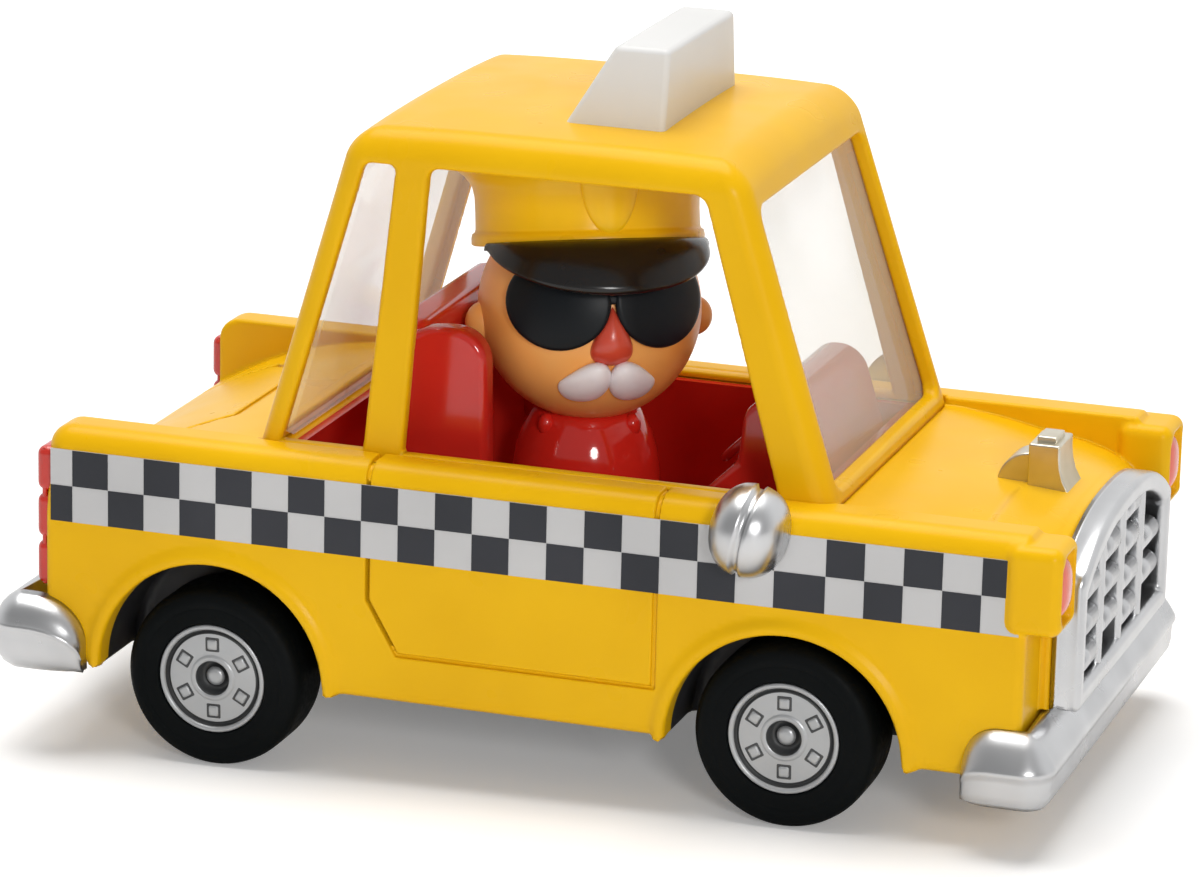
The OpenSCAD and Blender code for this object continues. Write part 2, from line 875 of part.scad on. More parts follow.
// Bumper round one end of the body, drawn as if for the front
module bumper(face_x, t, h, z, arm_x, r, end_r, shares) {
    half = half_w + bumper_side;
    difference() {
        intersection() {
            translate([0, 0, z - over]) linear_extrude(h + 2 * over) polygon(rounded(
                [[arm_x, -half], [face_x + t, -half], [face_x + t, half], [arm_x, half]],
                [end_r / 2, r, r, end_r / 2]));
            along_y(2 * half + 2 * over) polygon(concat(
                [[arm_x - over, z + h], [arm_x - over, z]],
                [for (s = shares) [face_x + s[0] * t, z + s[1] * h]]));
            translate([arm_x - over, 0, z + h / 2]) along_x(face_x + t - arm_x + 2 * over)
                polygon(rounded(box_points(2 * half, h), end_r));
        }
        translate([arm_x - 2 * over, -half_w, z - over])
            cube([face_x - arm_x + 2 * over, body_w, h + 2 * over]);
    }
}

module front_bumper() {
    color(chrome) raked() bumper(nose_x, front_bumper_t, front_bumper_h, front_bumper_z,
        front_bumper_back_x, front_bumper_r, front_end_r, front_bumper_shares);
}

module rear_bumper() {
    color(chrome) raked() mirror([1, 0, 0]) bumper(tail_x, rear_bumper_t, rear_bumper_h, rear_bumper_z,
        rear_bumper_back_x, rear_bumper_r, rear_end_r, rear_bumper_shares);
}

// Lamps and mirrors

module headlamp(side) {
    seat_x = lamp_x + lamp_l - lamp_recess;
    color("#e8a18e") raked() on_side(side) translate([seat_x, lamp_y, lamp_z]) intersection() {
        along_x(lamp_recess + lens_bulge) lamp_outline(lamp_rim + lens_gap);
        translate([lamp_recess + lens_bulge - lens_ball_r, 0, 0]) sphere(lens_ball_r);
    }
}

module headlamp_left() {
    headlamp(1);
}

module headlamp_right() {
    headlamp(-1);
}

module tail_lamp(side) {
    y = half_w - tail_lamp_in - tail_lamp_w / 2;
    z = belt_z - tail_lamp_drop;
    color(red) raked() on_side(side) translate([-tail_x, y, z]) mirror([1, 0, 0]) {
        translate([0, 0, -tail_lobes * tail_lobe_h / 2]) along_x(tail_back_t)
            polygon(rounded(box_points(tail_lamp_w, tail_lobes * tail_lobe_h - tail_lobe_gap), tail_lobe_r));
        for (i = [0:tail_lobes - 1]) translate([0, 0, -(i + 0.5) * tail_lobe_h]) intersection() {
            along_x(tail_lamp_t)
                polygon(rounded(box_points(tail_lamp_w, tail_lobe_h - tail_lobe_gap), tail_lobe_r));
            translate([tail_lamp_t - tail_dome_r, 0, 0]) along_y(tail_lamp_w + over) circle(tail_dome_r);
        }
    }
}

module tail_lamp_left() {
    tail_lamp(1);
}

module tail_lamp_right() {
    tail_lamp(-1);
}

module door_mirror(side) {
    flat = half_w + stripe_t + check_t;
    color(chrome) raked() on_side(side) intersection() {
        translate([mirror_x, half_w + mirror_out, belt_z - mirror_drop]) rotate([0, mirror_tilt, 0])
            rotate([0, 90, 0]) difference() {
                rotate_extrude() polygon([
                    for (i = [-mirror_steps:mirror_steps])
                        let (t = i / mirror_steps)
                        [mirror_h / 2 * swell(t, mirror_power), mirror_l / 2 * t]
                ]);
                rotate_extrude() translate([mirror_h / 2 - mirror_groove_d, -mirror_groove_w / 2])
                    square([mirror_groove_d + over, mirror_groove_w]);
            }
        translate([mirror_x - mirror_l, flat, belt_z - mirror_drop - mirror_h])
            cube([2 * mirror_l, mirror_h, 2 * mirror_h]);
    }
}

module mirror_left() {
    door_mirror(1);
}

module mirror_right() {
    door_mirror(-1);
}

// Check stripe along each side

function check_x(i) =
    let (fender = rear_checks + door_checks)
    i == 0 ? -stripe_back_x :
    i < fender ? -stripe_joint_x + (i - rear_checks) * check_l :
    i < fender + front_checks ? stripe_fender_x + (i - fender) * check_l :
    stripe_front_x;

module stripe(side) {
    color("white") raked() on_side(side) translate([0, half_w + stripe_t / 2, stripe_z]) along_y(stripe_t)
        translate([-stripe_back_x, 0]) square([stripe_back_x + stripe_front_x, 2 * check_h]);
}

module stripe_left() {
    stripe(1);
}

module stripe_right() {
    stripe(-1);
}

module stripe_checks(side) {
    last = rear_checks + door_checks + front_checks - 1;
    y = half_w + stripe_t + check_t / 2;
    color(black) raked() on_side(side) translate([0, y, stripe_z]) along_y(check_t)
        for (i = [0:last]) for (row = [0, 1]) if ((i + row) % 2 == 0)
            translate([check_x(i) + check_gap, row * check_h + check_gap])
                square([check_x(i + 1) - check_x(i) - 2 * check_gap, check_h - 2 * check_gap]);
}

module stripe_checks_left() {
    stripe_checks(1);
}

module stripe_checks_right() {
    stripe_checks(-1);
}

// Interior

module interior_tub() {
    color(red) raked() difference() {
        along_y(2 * (well_y - seat_gap)) polygon(well_outline(seat_gap, 0, cabin_z));
        along_y(2 * (well_y - tub_t)) polygon(well_outline(tub_t, tub_t, cabin_z + over));
    }
}

module seat_wings() {
    foot = seat_foot_z + seat_cushion_h - wing_lap;
    back = -seat_back_x;
    both_sides() translate([0, seat_y - wing_w / 2, 0]) along_y(wing_w) polygon(rounded([
        [back, foot], [-wing_front, foot], [-wing_front - wing_lean, seat_top_z], [back, seat_top_z]
    ], [0, seat_edge_r, wing_r, seat_r]));
}

module seat() {
    foot = seat_foot_z;
    back = -seat_back_x;
    shift = seat_shift;
    color(red) raked() {
        seat_wings();
        intersection() {
            along_y(2 * seat_y) polygon(rounded([
                [back, foot], [seat_front, foot], [seat_front, foot + seat_cushion_h],
                [back + seat_t, foot + seat_cushion_h], [back + seat_t - shift, seat_top_z],
                [back - shift, seat_top_z]
            ], [seat_edge_r, seat_edge_r, seat_r, seat_edge_r, seat_r, seat_r]));
            translate([back - shift - over, 0, 0]) along_x(seat_front - back + shift + 2 * over)
                polygon(rounded([
                    [-seat_y, foot], [seat_y, foot], [seat_y, seat_top_z], [-seat_y, seat_top_z]
                ], [0, 0, seat_top_r, seat_top_r]));
        }
    }
}

module dashboard() {
    foot = shelf_z + tub_t;
    front = well_front_x - tub_t - seat_gap;
    color(red) raked() along_y(2 * dash_y) polygon(rounded([
        [dash_back_x, foot], [front, foot], [front, dash_front_z], [dash_top_x + cowl_in + cowl_l, cowl_z],
        [dash_top_x + cowl_in, cowl_z], [dash_top_x, dash_z], [dash_back_x, dash_edge_z]
    ], [0, 0, dash_r, cowl_r, cowl_r, dash_r, dash_r]));
}

module steering_wheel() {
    tilt = atan2(dash_z - dash_edge_z, dash_top_x - dash_back_x);
    face = [(dash_back_x + dash_top_x) / 2, 0, (dash_edge_z + dash_z) / 2];
    color(red) raked() translate(face) rotate([0, -tilt, 0]) {
        cylinder(r = column_r, h = column_l + wheel_rim_t / 2);
        translate([0, 0, column_l]) {
            rotate_extrude() translate([wheel_rim_r, 0]) circle(wheel_rim_t, $fn = blend_fn);
            for (a = [0, 120, 240]) rotate(a) translate([0, -wheel_spoke_w / 2, -wheel_rim_t / 2])
                cube([wheel_rim_r, wheel_spoke_w, wheel_rim_t]);
        }
    }
}

// Driver

// The driver's own frame: the middle of the head, with the face along +X
module at_head() {
    raked() translate([-driver_x, 0, head_z]) rotate(face_turn) children();
}

// A place on the head, its sizes in shares of the head's radius
function on_head(y, z, out) = head_r * [sqrt(pow(1 + out, 2) - y * y - z * z), y, z];

module driver_torso() {
    foot = floor_z + tub_t + seat_cushion_h;
    top = head_z - head_r + torso_lap_share * head_r;
    color(red) raked() translate([-driver_x, 0, 0]) difference() {
        rotate_extrude() polygon(concat([[0, foot]], [
            for (i = [0:torso_steps])
                let (t = i / torso_steps)
                [
                    torso_share * head_r * (1 - torso_bulge_share * pow(t - torso_mid_share, 2)),
                    foot + (top - foot) * t
                ]
        ], [[0, top]]));
        translate([0, 0, head_z]) sphere(head_r + head_gap);
        translate([0, 0, head_z - head_r - neck_l - neck_gap])
            cylinder(r = neck_r + neck_gap, h = neck_l + over);
    }
}

module driver_head() {
    color("#a8622f") at_head() difference() {
        union() {
            sphere(head_r);
            both_sides() translate(head_r * [-ear_back_share, 1 - ear_in_share, -ear_drop_share])
                sphere(ear_share * head_r);
            translate([0, 0, -head_r - neck_l]) cylinder(r = neck_r, h = head_r);
        }
        translate([-head_d, -head_d, cap_rise]) cube([2 * head_d, 2 * head_d, head_d]);
    }
}

module driver_nose() {
    color(red) at_head() difference() {
        hull() {
            translate(on_head(0, -nose_top_drop_share, 0)) sphere(nose_top_share * head_r, $fn = blend_fn);
            both_sides() translate(on_head(nose_side_share, -nose_drop_share, nose_out_share))
                sphere(nose_ball_share * head_r, $fn = blend_fn);
        }
        sphere(head_r);
    }
}

module driver_moustache() {
    color("#d9d6d6") at_head() difference() {
        both_sides() hull() {
            translate(on_head(moustache_side_share, -moustache_drop_share, moustache_out_share))
                sphere(moustache_share * head_r, $fn = blend_fn);
            translate(on_head(moustache_tip_side_share, -moustache_tip_drop_share, moustache_out_share))
                sphere(moustache_tip_share * head_r, $fn = blend_fn);
        }
        sphere(head_r);
    }
}

module driver_sunglasses() {
    bridge_w = bridge_w_share * head_r;
    color(black) at_head() intersection() {
        difference() {
            sphere(head_r + lens_t);
            sphere(head_r);
        }
        translate([0, 0, lens_rise_share * head_r]) {
            both_sides() translate([0, lens_side_share * head_r, 0]) rotate([0, 90, 0])
                cylinder(r = lens_share * head_r, h = head_d);
            translate([0, -bridge_w / 2, 0]) cube([head_d, bridge_w, bridge_share * head_r]);
        }
    }
}

function cap_outline(grow) = rounded([
    [0, 0], [cap_band_r, 0], [cap_band_r, cap_band_h], [head_r + grow, cap_band_h],
    [head_r + cap_flare + grow, cap_shoulder_share * cap_h], [cap_crown_share * head_r, cap_h + grow],
    [0, cap_h + grow]
], [0, 0, 0, 0, cap_r, cap_r, 0]);

module badge_outline() {
    half = badge_share * head_r / 2;
    neck = badge_neck_share * half;
    translate([0, half - badge_foot_share * half]) circle(half);
    polygon([[-neck, half], [neck, half], [0, badge_h_share * cap_h]]);
}

module driver_cap() {
    color(yellow) at_head() translate([0, 0, cap_rise]) {
        rotate_extrude() polygon(cap_outline(0));
        intersection() {
            rotate_extrude() polygon(cap_outline(badge_t));
            translate([0, 0, cap_band_h]) along_x(head_d) badge_outline();
        }
    }
}

module driver_cap_visor() {
    reach = cap_band_r + visor_out;
    color(black) at_head() translate([0, 0, cap_rise + visor_rise]) intersection() {
        rotate_extrude() polygon([
            [cap_band_r, 0], [reach, -visor_fall], [reach, visor_t - visor_fall], [cap_band_r, visor_t]
        ]);
        translate([visor_shift, 0, -visor_fall - over])
            cylinder(r = reach - visor_shift, h = visor_fall + visor_t + 2 * over);
    }
}

// Base plate, screws and running gear

module at_axles() {
    for (x = [-rear_axle_x, front_axle_x]) translate([x, 0, axle_z]) children();
}

module base_plate() {
    inner = plate_y - bearing_l;
    color("#2b2e33") difference() {
        union() {
            raked() translate([0, 0, sill_z]) linear_extrude(plate_t) polygon(plate_outline(0));
            at_axles() both_sides() translate([0, inner, 0]) rotate([-90, 0, 0])
                cylinder(r = bearing_r, h = bearing_l);
        }
        at_axles() rotate([90, 0, 0]) cylinder(r = axle_r + axle_gap, h = body_w, center = true);
        at_axles() translate([-bearing_r, -inner, -axle_z]) cube([2 * bearing_r, 2 * inner, 2 * axle_z]);
        raked() at_screws() {
            translate([0, 0, -over]) cylinder(r = screw_r + seat_gap, h = plate_t + 2 * over);
            translate([0, 0, -over]) cylinder(r = screw_head_r + seat_gap, h = screw_head_h + over);
        }
    }
}

module base_screws() {
    color(chrome) raked() at_screws() difference() {
        union() {
            cylinder(r = screw_head_r, h = screw_head_h);
            cylinder(r = screw_r, h = screw_l);
        }
        translate([-screw_head_r - over, -screw_slot_w / 2, -over])
            cube([2 * (screw_head_r + over), screw_slot_w, screw_slot_d + over]);
    }
}

module axle(x) {
    color(chrome) translate([x, 0, axle_z]) rotate([90, 0, 0])
        cylinder(r = axle_r, h = 2 * (wheel_y - axle_end_in), center = true);
}

module front_axle() {
    axle(front_axle_x);
}

module rear_axle() {
    axle(-rear_axle_x);
}

// Outer face of a wheel on the plane Z = 0, the axle running down from it
module at_wheel(x, side) {
    on_side(side) translate([x, wheel_y, axle_z]) rotate([-90, 0, 0]) children();
}

module tyre(x, side) {
    color("#1d1e20") at_wheel(x, side) rotate_extrude() polygon(rounded(
        [[hub_r, -tyre_w], [tyre_d / 2, -tyre_w], [tyre_d / 2, 0], [hub_r, 0]],
        [0, tyre_shoulder_r, tyre_shoulder_r, 0]));
}

module hub(x, side) {
    back = -hub_dish - hub_web_t;
    boss = plate_y + hub_boss_gap - wheel_y;
    color(chrome) at_wheel(x, side) {
        rotate_extrude() polygon([
            [0, -hub_dish - hub_cup_d], [0, -axle_end_in], [axle_r, -axle_end_in], [axle_r, boss],
            [hub_boss_r, boss], [hub_boss_r, back], [hub_r - hub_wall, back], [hub_r - hub_wall, -tyre_w],
            [hub_r, -tyre_w], [hub_r, 0], [hub_r - hub_rim_w, 0], [hub_r - hub_rim_w, -hub_dish],
            [hub_ring_r, -hub_dish], [hub_ring_r, hub_ring_h - hub_dish], [hub_cup_r, hub_ring_h - hub_dish],
            [hub_cup_r, -hub_dish - hub_cup_d]
        ]);
        for (i = [0:hub_nubs - 1]) rotate(360 * i / hub_nubs)
            translate([hub_nub_ring_share * hub_r, -hub_nub_side / 2, -hub_dish - hub_nub_h])
                cube([hub_nub_side, hub_nub_side, 2 * hub_nub_h]);
    }
}

module tyre_front_left() {
    tyre(front_axle_x, 1);
}

module tyre_front_right() {
    tyre(front_axle_x, -1);
}

module tyre_rear_left() {
    tyre(-rear_axle_x, 1);
}

module tyre_rear_right() {
    tyre(-rear_axle_x, -1);
}

module hub_front_left() {
    hub(front_axle_x, 1);
}

module hub_front_right() {
    hub(front_axle_x, -1);
}

module hub_rear_left() {
    hub(-rear_axle_x, 1);
}

module hub_rear_right() {
    hub(-rear_axle_x, -1);
}

body_shell();
cabin_frame();
windscreen();
rear_window();
roof_sign();
hood_ornament();
grille();
front_bumper();
rear_bumper();
headlamp_left();
headlamp_right();
tail_lamp_left();
tail_lamp_right();
mirror_left();
mirror_right();
stripe_left();
stripe_right();
stripe_checks_left();
stripe_checks_right();
interior_tub();
seat();
dashboard();
steering_wheel();
driver_torso();
driver_head();
driver_nose();
driver_moustache();
driver_sunglasses();
driver_cap();
driver_cap_visor();
base_plate();
base_screws();
front_axle();
rear_axle();
tyre_front_left();
tyre_front_right();
tyre_rear_left();
tyre_rear_right();
hub_front_left();
hub_front_right();
hub_rear_left();
hub_rear_right();
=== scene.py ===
import math

import bmesh
import bpy
import numpy as np
from mathutils import Matrix, Vector


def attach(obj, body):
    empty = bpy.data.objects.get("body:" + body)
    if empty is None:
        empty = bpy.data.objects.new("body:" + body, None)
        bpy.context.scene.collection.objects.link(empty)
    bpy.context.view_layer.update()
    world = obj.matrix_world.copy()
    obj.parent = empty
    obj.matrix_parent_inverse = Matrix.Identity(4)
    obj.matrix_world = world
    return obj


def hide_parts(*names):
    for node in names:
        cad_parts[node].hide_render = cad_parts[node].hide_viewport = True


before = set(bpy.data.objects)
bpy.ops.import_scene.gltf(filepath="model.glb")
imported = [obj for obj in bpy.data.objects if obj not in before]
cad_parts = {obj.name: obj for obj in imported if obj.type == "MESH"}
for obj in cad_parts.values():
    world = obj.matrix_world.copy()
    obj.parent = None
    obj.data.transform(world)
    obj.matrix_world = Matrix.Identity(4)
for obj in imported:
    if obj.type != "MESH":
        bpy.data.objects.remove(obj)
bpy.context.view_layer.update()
scene = bpy.context.scene
scene.view_settings.view_transform = "Standard"
print("frame loaded")

# Camera, as solved from the photo

cameraSet = {
    "azimuth": 18.36, "elevation": 15.53, "distance": 0.606, "target": (0.0002, 0.0, 0.0328), "lens": 166.2,
    "sensor": 36, "near": 0.02,
}


def makeCamera(s):
    az, el = math.radians(s["azimuth"]), math.radians(s["elevation"])
    back = Vector((math.sin(az) * math.cos(el), -math.cos(az) * math.cos(el), math.sin(el)))
    data = bpy.data.cameras.new("camera")
    data.lens = s["lens"]
    data.sensor_width = s["sensor"]
    data.clip_start = s["near"]
    cam = bpy.data.objects.new("camera", data)
    scene.collection.objects.link(cam)
    cam.location = Vector(s["target"]) + back * s["distance"]
    cam.rotation_mode = "QUATERNION"
    cam.rotation_quaternion = (-back).to_track_quat("-Z", "Y")
    scene.camera = cam


makeCamera(cameraSet)

# Distance fields, in millimetres: negative inside, with rounded joints between forms


def meet(a, b, r=0.0):
    u, v = np.maximum(a + r, 0), np.maximum(b + r, 0)
    return np.minimum(np.maximum(a, b), -r) + np.sqrt(u * u + v * v)


def join(a, b, r=0.0):
    return -meet(-a, -b, r)


def cut(a, b, r=0.0):
    return meet(a, -b, r)


def most(*parts):
    return np.maximum.reduce(parts)


def slab(t, span):
    return np.maximum(span[0] - t, t - span[1])


def block(x, y, z, lo, hi, r):
    q = [np.abs(p - (a + b) / 2) - ((b - a) / 2 - r) for p, a, b in zip((x, y, z), lo, hi)]
    out = np.sqrt(sum(np.maximum(k, 0) ** 2 for k in q))
    return out + np.minimum(most(*q), 0) - r


def strokes(u, v, points):
    best = None
    for (au, av), (bu, bv) in zip(points, points[1:]):
        du, dv = bu - au, bv - av
        t = np.clip(((u - au) * du + (v - av) * dv) / (du * du + dv * dv), 0, 1)
        d = np.hypot(u - au - t * du, v - av - t * dv)
        best = d if best is None else np.minimum(best, d)
    return best


def panel(u, v, points, r):
    d = None
    for (au, av), (bu, bv) in zip(points, points[1:] + points[:1]):
        n = math.hypot(bu - au, bv - av)
        e = ((u - au) * (bv - av) - (v - av) * (bu - au)) / n
        d = e if d is None else meet(d, e, r)
    return d


def curve(t, points):
    px, py = np.array(points, float).T
    m = np.gradient(py, px)
    i = np.clip(np.searchsorted(px, t) - 1, 0, len(px) - 2)
    h = px[i + 1] - px[i]
    s = np.clip((t - px[i]) / h, 0, 1)
    a, b = (1 + 2 * s) * (1 - s) ** 2, s * (1 - s) ** 2
    c, d = s * s * (3 - 2 * s), s * s * (s - 1)
    return a * py[i] + b * h * m[i] + c * py[i + 1] + d * h * m[i + 1]


def smooth(t, a, b):
    s = np.clip((t - a) / (b - a), 0, 1)
    return s * s * (3 - 2 * s)


# Surfaces drawn over the fields

millimetre = 0.001
rakeSet = {"angle": 1.4, "height": 10.0}
netSet = {
    "coarse": 6, "reach": 1.3, "margin": 0.5, "passes": 4, "probe": 0.02, "normalProbe": 0.05,
    "leastSlope": 0.05, "mostMove": 0.3, "least": 1e-9,
}


def spans(*parts):
    steps = [np.linspace(a, b, math.ceil((b - a) / step) + 1) for a, b, step in parts]
    return np.unique(np.concatenate(steps).round(4))


def bothSides(axis):
    return np.unique(np.concatenate([-axis, axis]).round(4))


def gradient(field, v, h):
    g = np.empty_like(v)
    for m in range(3):
        e = np.zeros(3)
        e[m] = h
        g[:, m] = (field(*(v + e).T) - field(*(v - e).T)) / (2 * h)
    return g


def sample(field, axes, s=netSet):
    b = s["coarse"]
    shape = tuple(len(a) for a in axes)
    first = [np.arange(0, n, b) for n in shape]
    last = [np.minimum(i + b, n) - 1 for i, n in zip(first, shape)]
    mid = [(a[i] + a[j]) / 2 for a, i, j in zip(axes, first, last)]
    half = [(a[j] - a[i]) / 2 + np.diff(a).max() for a, i, j in zip(axes, first, last)]
    c = field(*[m.ravel() for m in np.meshgrid(*mid, indexing="ij")]).reshape([len(m) for m in mid])
    hx, hy, hz = np.meshgrid(*half, indexing="ij")
    near = np.abs(c) < s["reach"] * np.sqrt(hx * hx + hy * hy + hz * hz) + s["margin"]
    d, mask = [
        np.repeat(np.repeat(np.repeat(a, b, 0), b, 1), b, 2)[: shape[0], : shape[1], : shape[2]].copy()
        for a in (c, near)
    ]
    i, j, k = np.nonzero(mask)
    d[mask] = field(axes[0][i], axes[1][j], axes[2][k])
    return d


def skin(field, *axes, s=netSet):
    d = sample(field, axes)
    inside = d < 0
    shape = tuple(n - 1 for n in d.shape)
    count = sum(
        inside[i : i + shape[0], j : j + shape[1], k : k + shape[2]].astype(np.int8)
        for i in (0, 1) for j in (0, 1) for k in (0, 1)
    )
    live = (count > 0) & (count < 8)
    n = int(live.sum())
    ids = np.full(shape, -1)
    ids[live] = np.arange(n)
    total, number, quads = np.zeros((n, 3)), np.zeros(n), []
    for a in range(3):
        s0 = np.take(inside, np.arange(d.shape[a] - 1), a)
        e = np.argwhere(s0 != np.take(inside, np.arange(1, d.shape[a]), a))
        f = e.copy()
        f[:, a] += 1
        d0, d1 = d[tuple(e.T)], d[tuple(f.T)]
        p = np.stack([axes[m][e[:, m]] for m in range(3)], 1)
        p[:, a] += d0 / (d0 - d1) * (axes[a][f[:, a]] - axes[a][e[:, a]])
        ring = []
        for db, dc in ((0, 0), (-1, 0), (-1, -1), (0, -1)):
            c = e.copy()
            c[:, (a + 1) % 3] += db
            c[:, (a + 2) % 3] += dc
            ok = ((c >= 0) & (c < np.array(shape))).all(1)
            i = np.where(ok, ids[tuple(np.clip(c, 0, np.array(shape) - 1).T)], -1)
            ring.append(i)
            for m in range(3):
                total[:, m] += np.bincount(i[ok], p[ok, m], n)
            number += np.bincount(i[ok], minlength=n)
        q = np.stack(ring, 1)
        q[~s0[tuple(e.T)]] = q[~s0[tuple(e.T)]][:, ::-1]
        quads.append(q[(q >= 0).all(1)])
    v = total / number[:, None]
    for _ in range(s["passes"]):
        g = gradient(field, v, s["probe"])
        move = (field(*v.T) / np.maximum((g * g).sum(1), s["leastSlope"]))[:, None] * g
        length = np.maximum(np.linalg.norm(move, axis=1), s["least"])
        v -= move * np.minimum(1, s["mostMove"] / length)[:, None]
    g = gradient(field, v, s["normalProbe"])
    return v, np.concatenate(quads), g / np.maximum(np.linalg.norm(g, axis=1), s["least"])[:, None]


def raked(v):
    a = math.radians(rakeSet["angle"])
    turn = np.array([[math.cos(a), 0, math.sin(a)], [0, 1, 0], [-math.sin(a), 0, math.cos(a)]])
    return v @ turn.T


def show(mesh, name, body, nodes, material):
    mesh.materials.append(material)
    obj = bpy.data.objects.new(name, mesh)
    scene.collection.objects.link(obj)
    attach(obj, body)
    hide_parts(*nodes)
    print(name, len(mesh.polygons), "faces")
    return obj


def place(made, name, node, material, inner=None, dark=None):
    v, q, n = made
    lift = np.array([0, 0, rakeSet["height"]])
    mesh = bpy.data.meshes.new(name)
    mesh.from_pydata(((raked(v - lift) + lift) * millimetre).tolist(), [], q.tolist())
    mesh.polygons.foreach_set("use_smooth", [True] * len(mesh.polygons))
    mesh.normals_split_custom_set_from_vertices(raked(n).tolist())
    show(mesh, name, "car", [node], material)
    if inner:
        mesh.materials.append(dark)
        mesh.polygons.foreach_set("material_index", inner(*v[q].mean(1).T).astype(np.int32))


# Mesh tools for the pieces that are boxes, outlines and turned forms

fullTurn = 2 * math.pi
weldDistance = 0.0005


def fresh(bm, before):
    return [v for v in bm.verts if v not in before]


def only(kind, geom):
    return [g for g in geom if isinstance(g, kind)]


def everything(bm):
    return bm.verts[:] + bm.edges[:] + bm.faces[:]


def bevel(bm, geom, width, steps, affect):
    bmesh.ops.bevel(
        bm, geom=geom, offset=width, offset_type="OFFSET", segments=steps, profile=0.5, affect=affect,
        clamp_overlap=True, material=-1,
    )


def softEdges(bm, verts, width, steps=3, least=20, also=()):
    near, limit = set(verts), math.radians(least)
    edges = [e for e in bm.edges if (near.issuperset(e.verts) or e in also) and len(e.link_faces) == 2]
    bevel(bm, [e for e in edges if e.calc_face_angle() > limit], width, steps, "EDGES")


def extrude(bm, faces, reach):
    out = bmesh.ops.extrude_face_region(bm, geom=faces)["geom"]
    verts = only(bmesh.types.BMVert, out)
    bmesh.ops.translate(bm, verts=verts, vec=reach)
    return verts, only(bmesh.types.BMFace, out)


def addBox(bm, lo, hi, width, steps=3):
    before = set(bm.verts)
    mid = [(a + b) / 2 for a, b in zip(lo, hi)]
    size = [b - a for a, b in zip(lo, hi)]
    bmesh.ops.create_cube(bm, size=1, matrix=Matrix.Translation(mid) @ Matrix.Diagonal((*size, 1)))
    softEdges(bm, fresh(bm, before), width, steps)
    return fresh(bm, before)


def addOutline(bm, points, reach, rounds, width, steps=3, cornerSteps=7, least=35):
    before = set(bm.verts)
    verts = [bm.verts.new(p) for p in points]
    bm.faces.new(verts)
    for v, r in zip(verts, rounds):
        if r:
            bevel(bm, [v], r, cornerSteps, "VERTICES")
    new = set(fresh(bm, before))
    extrude(bm, [f for f in bm.faces if f.verts[0] in new], reach)
    if width:
        softEdges(bm, fresh(bm, before), width, steps, least)
    return fresh(bm, before)


def addAcross(bm, points, half, rounds, width):
    return addOutline(bm, [(x, -half, z) for x, z in points], (0, 2 * half, 0), rounds, width)


def addTurned(bm, points, axis, centre, steps, closed=False, angle=fullTurn):
    before = set(bm.verts)
    verts = [bm.verts.new(p) for p in points]
    edges = [bm.edges.new(pair) for pair in zip(verts, verts[1:] + (verts[:1] if closed else []))]
    bmesh.ops.spin(
        bm, geom=verts + edges, cent=centre, axis=axis, angle=angle, steps=steps, use_merge=angle == fullTurn
    )
    bmesh.ops.remove_doubles(bm, verts=fresh(bm, before), dist=weldDistance)
    return fresh(bm, before)


def addBall(bm, centre, radii, u=48, v=28):
    before = set(bm.verts)
    matrix = Matrix.Translation(centre) @ Matrix.Diagonal((*radii, 1))
    bmesh.ops.create_uvsphere(bm, u_segments=u, v_segments=v, radius=1, matrix=matrix)
    return fresh(bm, before)


def addRod(bm, a, b, ra, rb, steps=24):
    before = set(bm.verts)
    along = Vector(b) - Vector(a)
    turn = along.to_track_quat("Z", "Y").to_matrix().to_4x4()
    matrix = Matrix.Translation((Vector(a) + Vector(b)) / 2) @ turn
    bmesh.ops.create_cone(
        bm, cap_ends=True, segments=steps, radius1=ra, radius2=rb, depth=along.length, matrix=matrix
    )
    return fresh(bm, before)


def pullEdges(bm, edges, step):
    out = bmesh.ops.extrude_edge_only(bm, edges=edges)["geom"]
    verts = set(only(bmesh.types.BMVert, out))
    bmesh.ops.translate(bm, verts=list(verts), vec=step)
    return [e for e in only(bmesh.types.BMEdge, out) if e.verts[0] in verts and e.verts[1] in verts]


def closeHoles(bm):
    bmesh.ops.holes_fill(bm, edges=[e for e in bm.edges if e.is_boundary], sides=0)


def trimOff(bm, at, normal):
    bmesh.ops.bisect_plane(bm, geom=everything(bm), plane_co=at, plane_no=normal, clear_outer=True)
    closeHoles(bm)


def rotation(degrees, axis, size=4):
    return Matrix.Rotation(math.radians(degrees), size, axis)


def settle(bm, name, node, material, body="car", flip=False, level=False, move=Matrix.Identity(4)):
    made = bm.copy()
    lift = Matrix.Translation((0, 0, rakeSet["height"]))
    lean = Matrix.Identity(4) if level else lift @ rotation(rakeSet["angle"], "Y") @ lift.inverted()
    side = Matrix.Diagonal((1, -1 if flip else 1, 1, 1))
    bmesh.ops.transform(made, matrix=Matrix.Scale(millimetre, 4) @ lean @ side @ move, verts=made.verts)
    bmesh.ops.recalc_face_normals(made, faces=made.faces)
    for f in made.faces:
        f.smooth = True
    mesh = bpy.data.meshes.new(name)
    made.to_mesh(mesh)
    made.free()
    obj = show(mesh, name, body, [node], material)
    obj.modifiers.new("evenNormals", "WEIGHTED_NORMAL")
    return obj


def settlePair(bm, name, node, material):
    settle(bm, name + "RightSkin", node + "_right", material)
    settle(bm, name + "LeftSkin", node + "_left", material, flip=True)


# Materials

noiseSpan = (0.3, 0.7)


def newMaterial(name):
    mat = bpy.data.materials.new(name)
    mat.use_nodes = True
    tree = mat.node_tree
    tree.nodes.clear()
    out = tree.nodes.new("ShaderNodeOutputMaterial")
    coord = tree.nodes.new("ShaderNodeTexCoord")
    return mat, tree, out, coord.outputs["Object"]


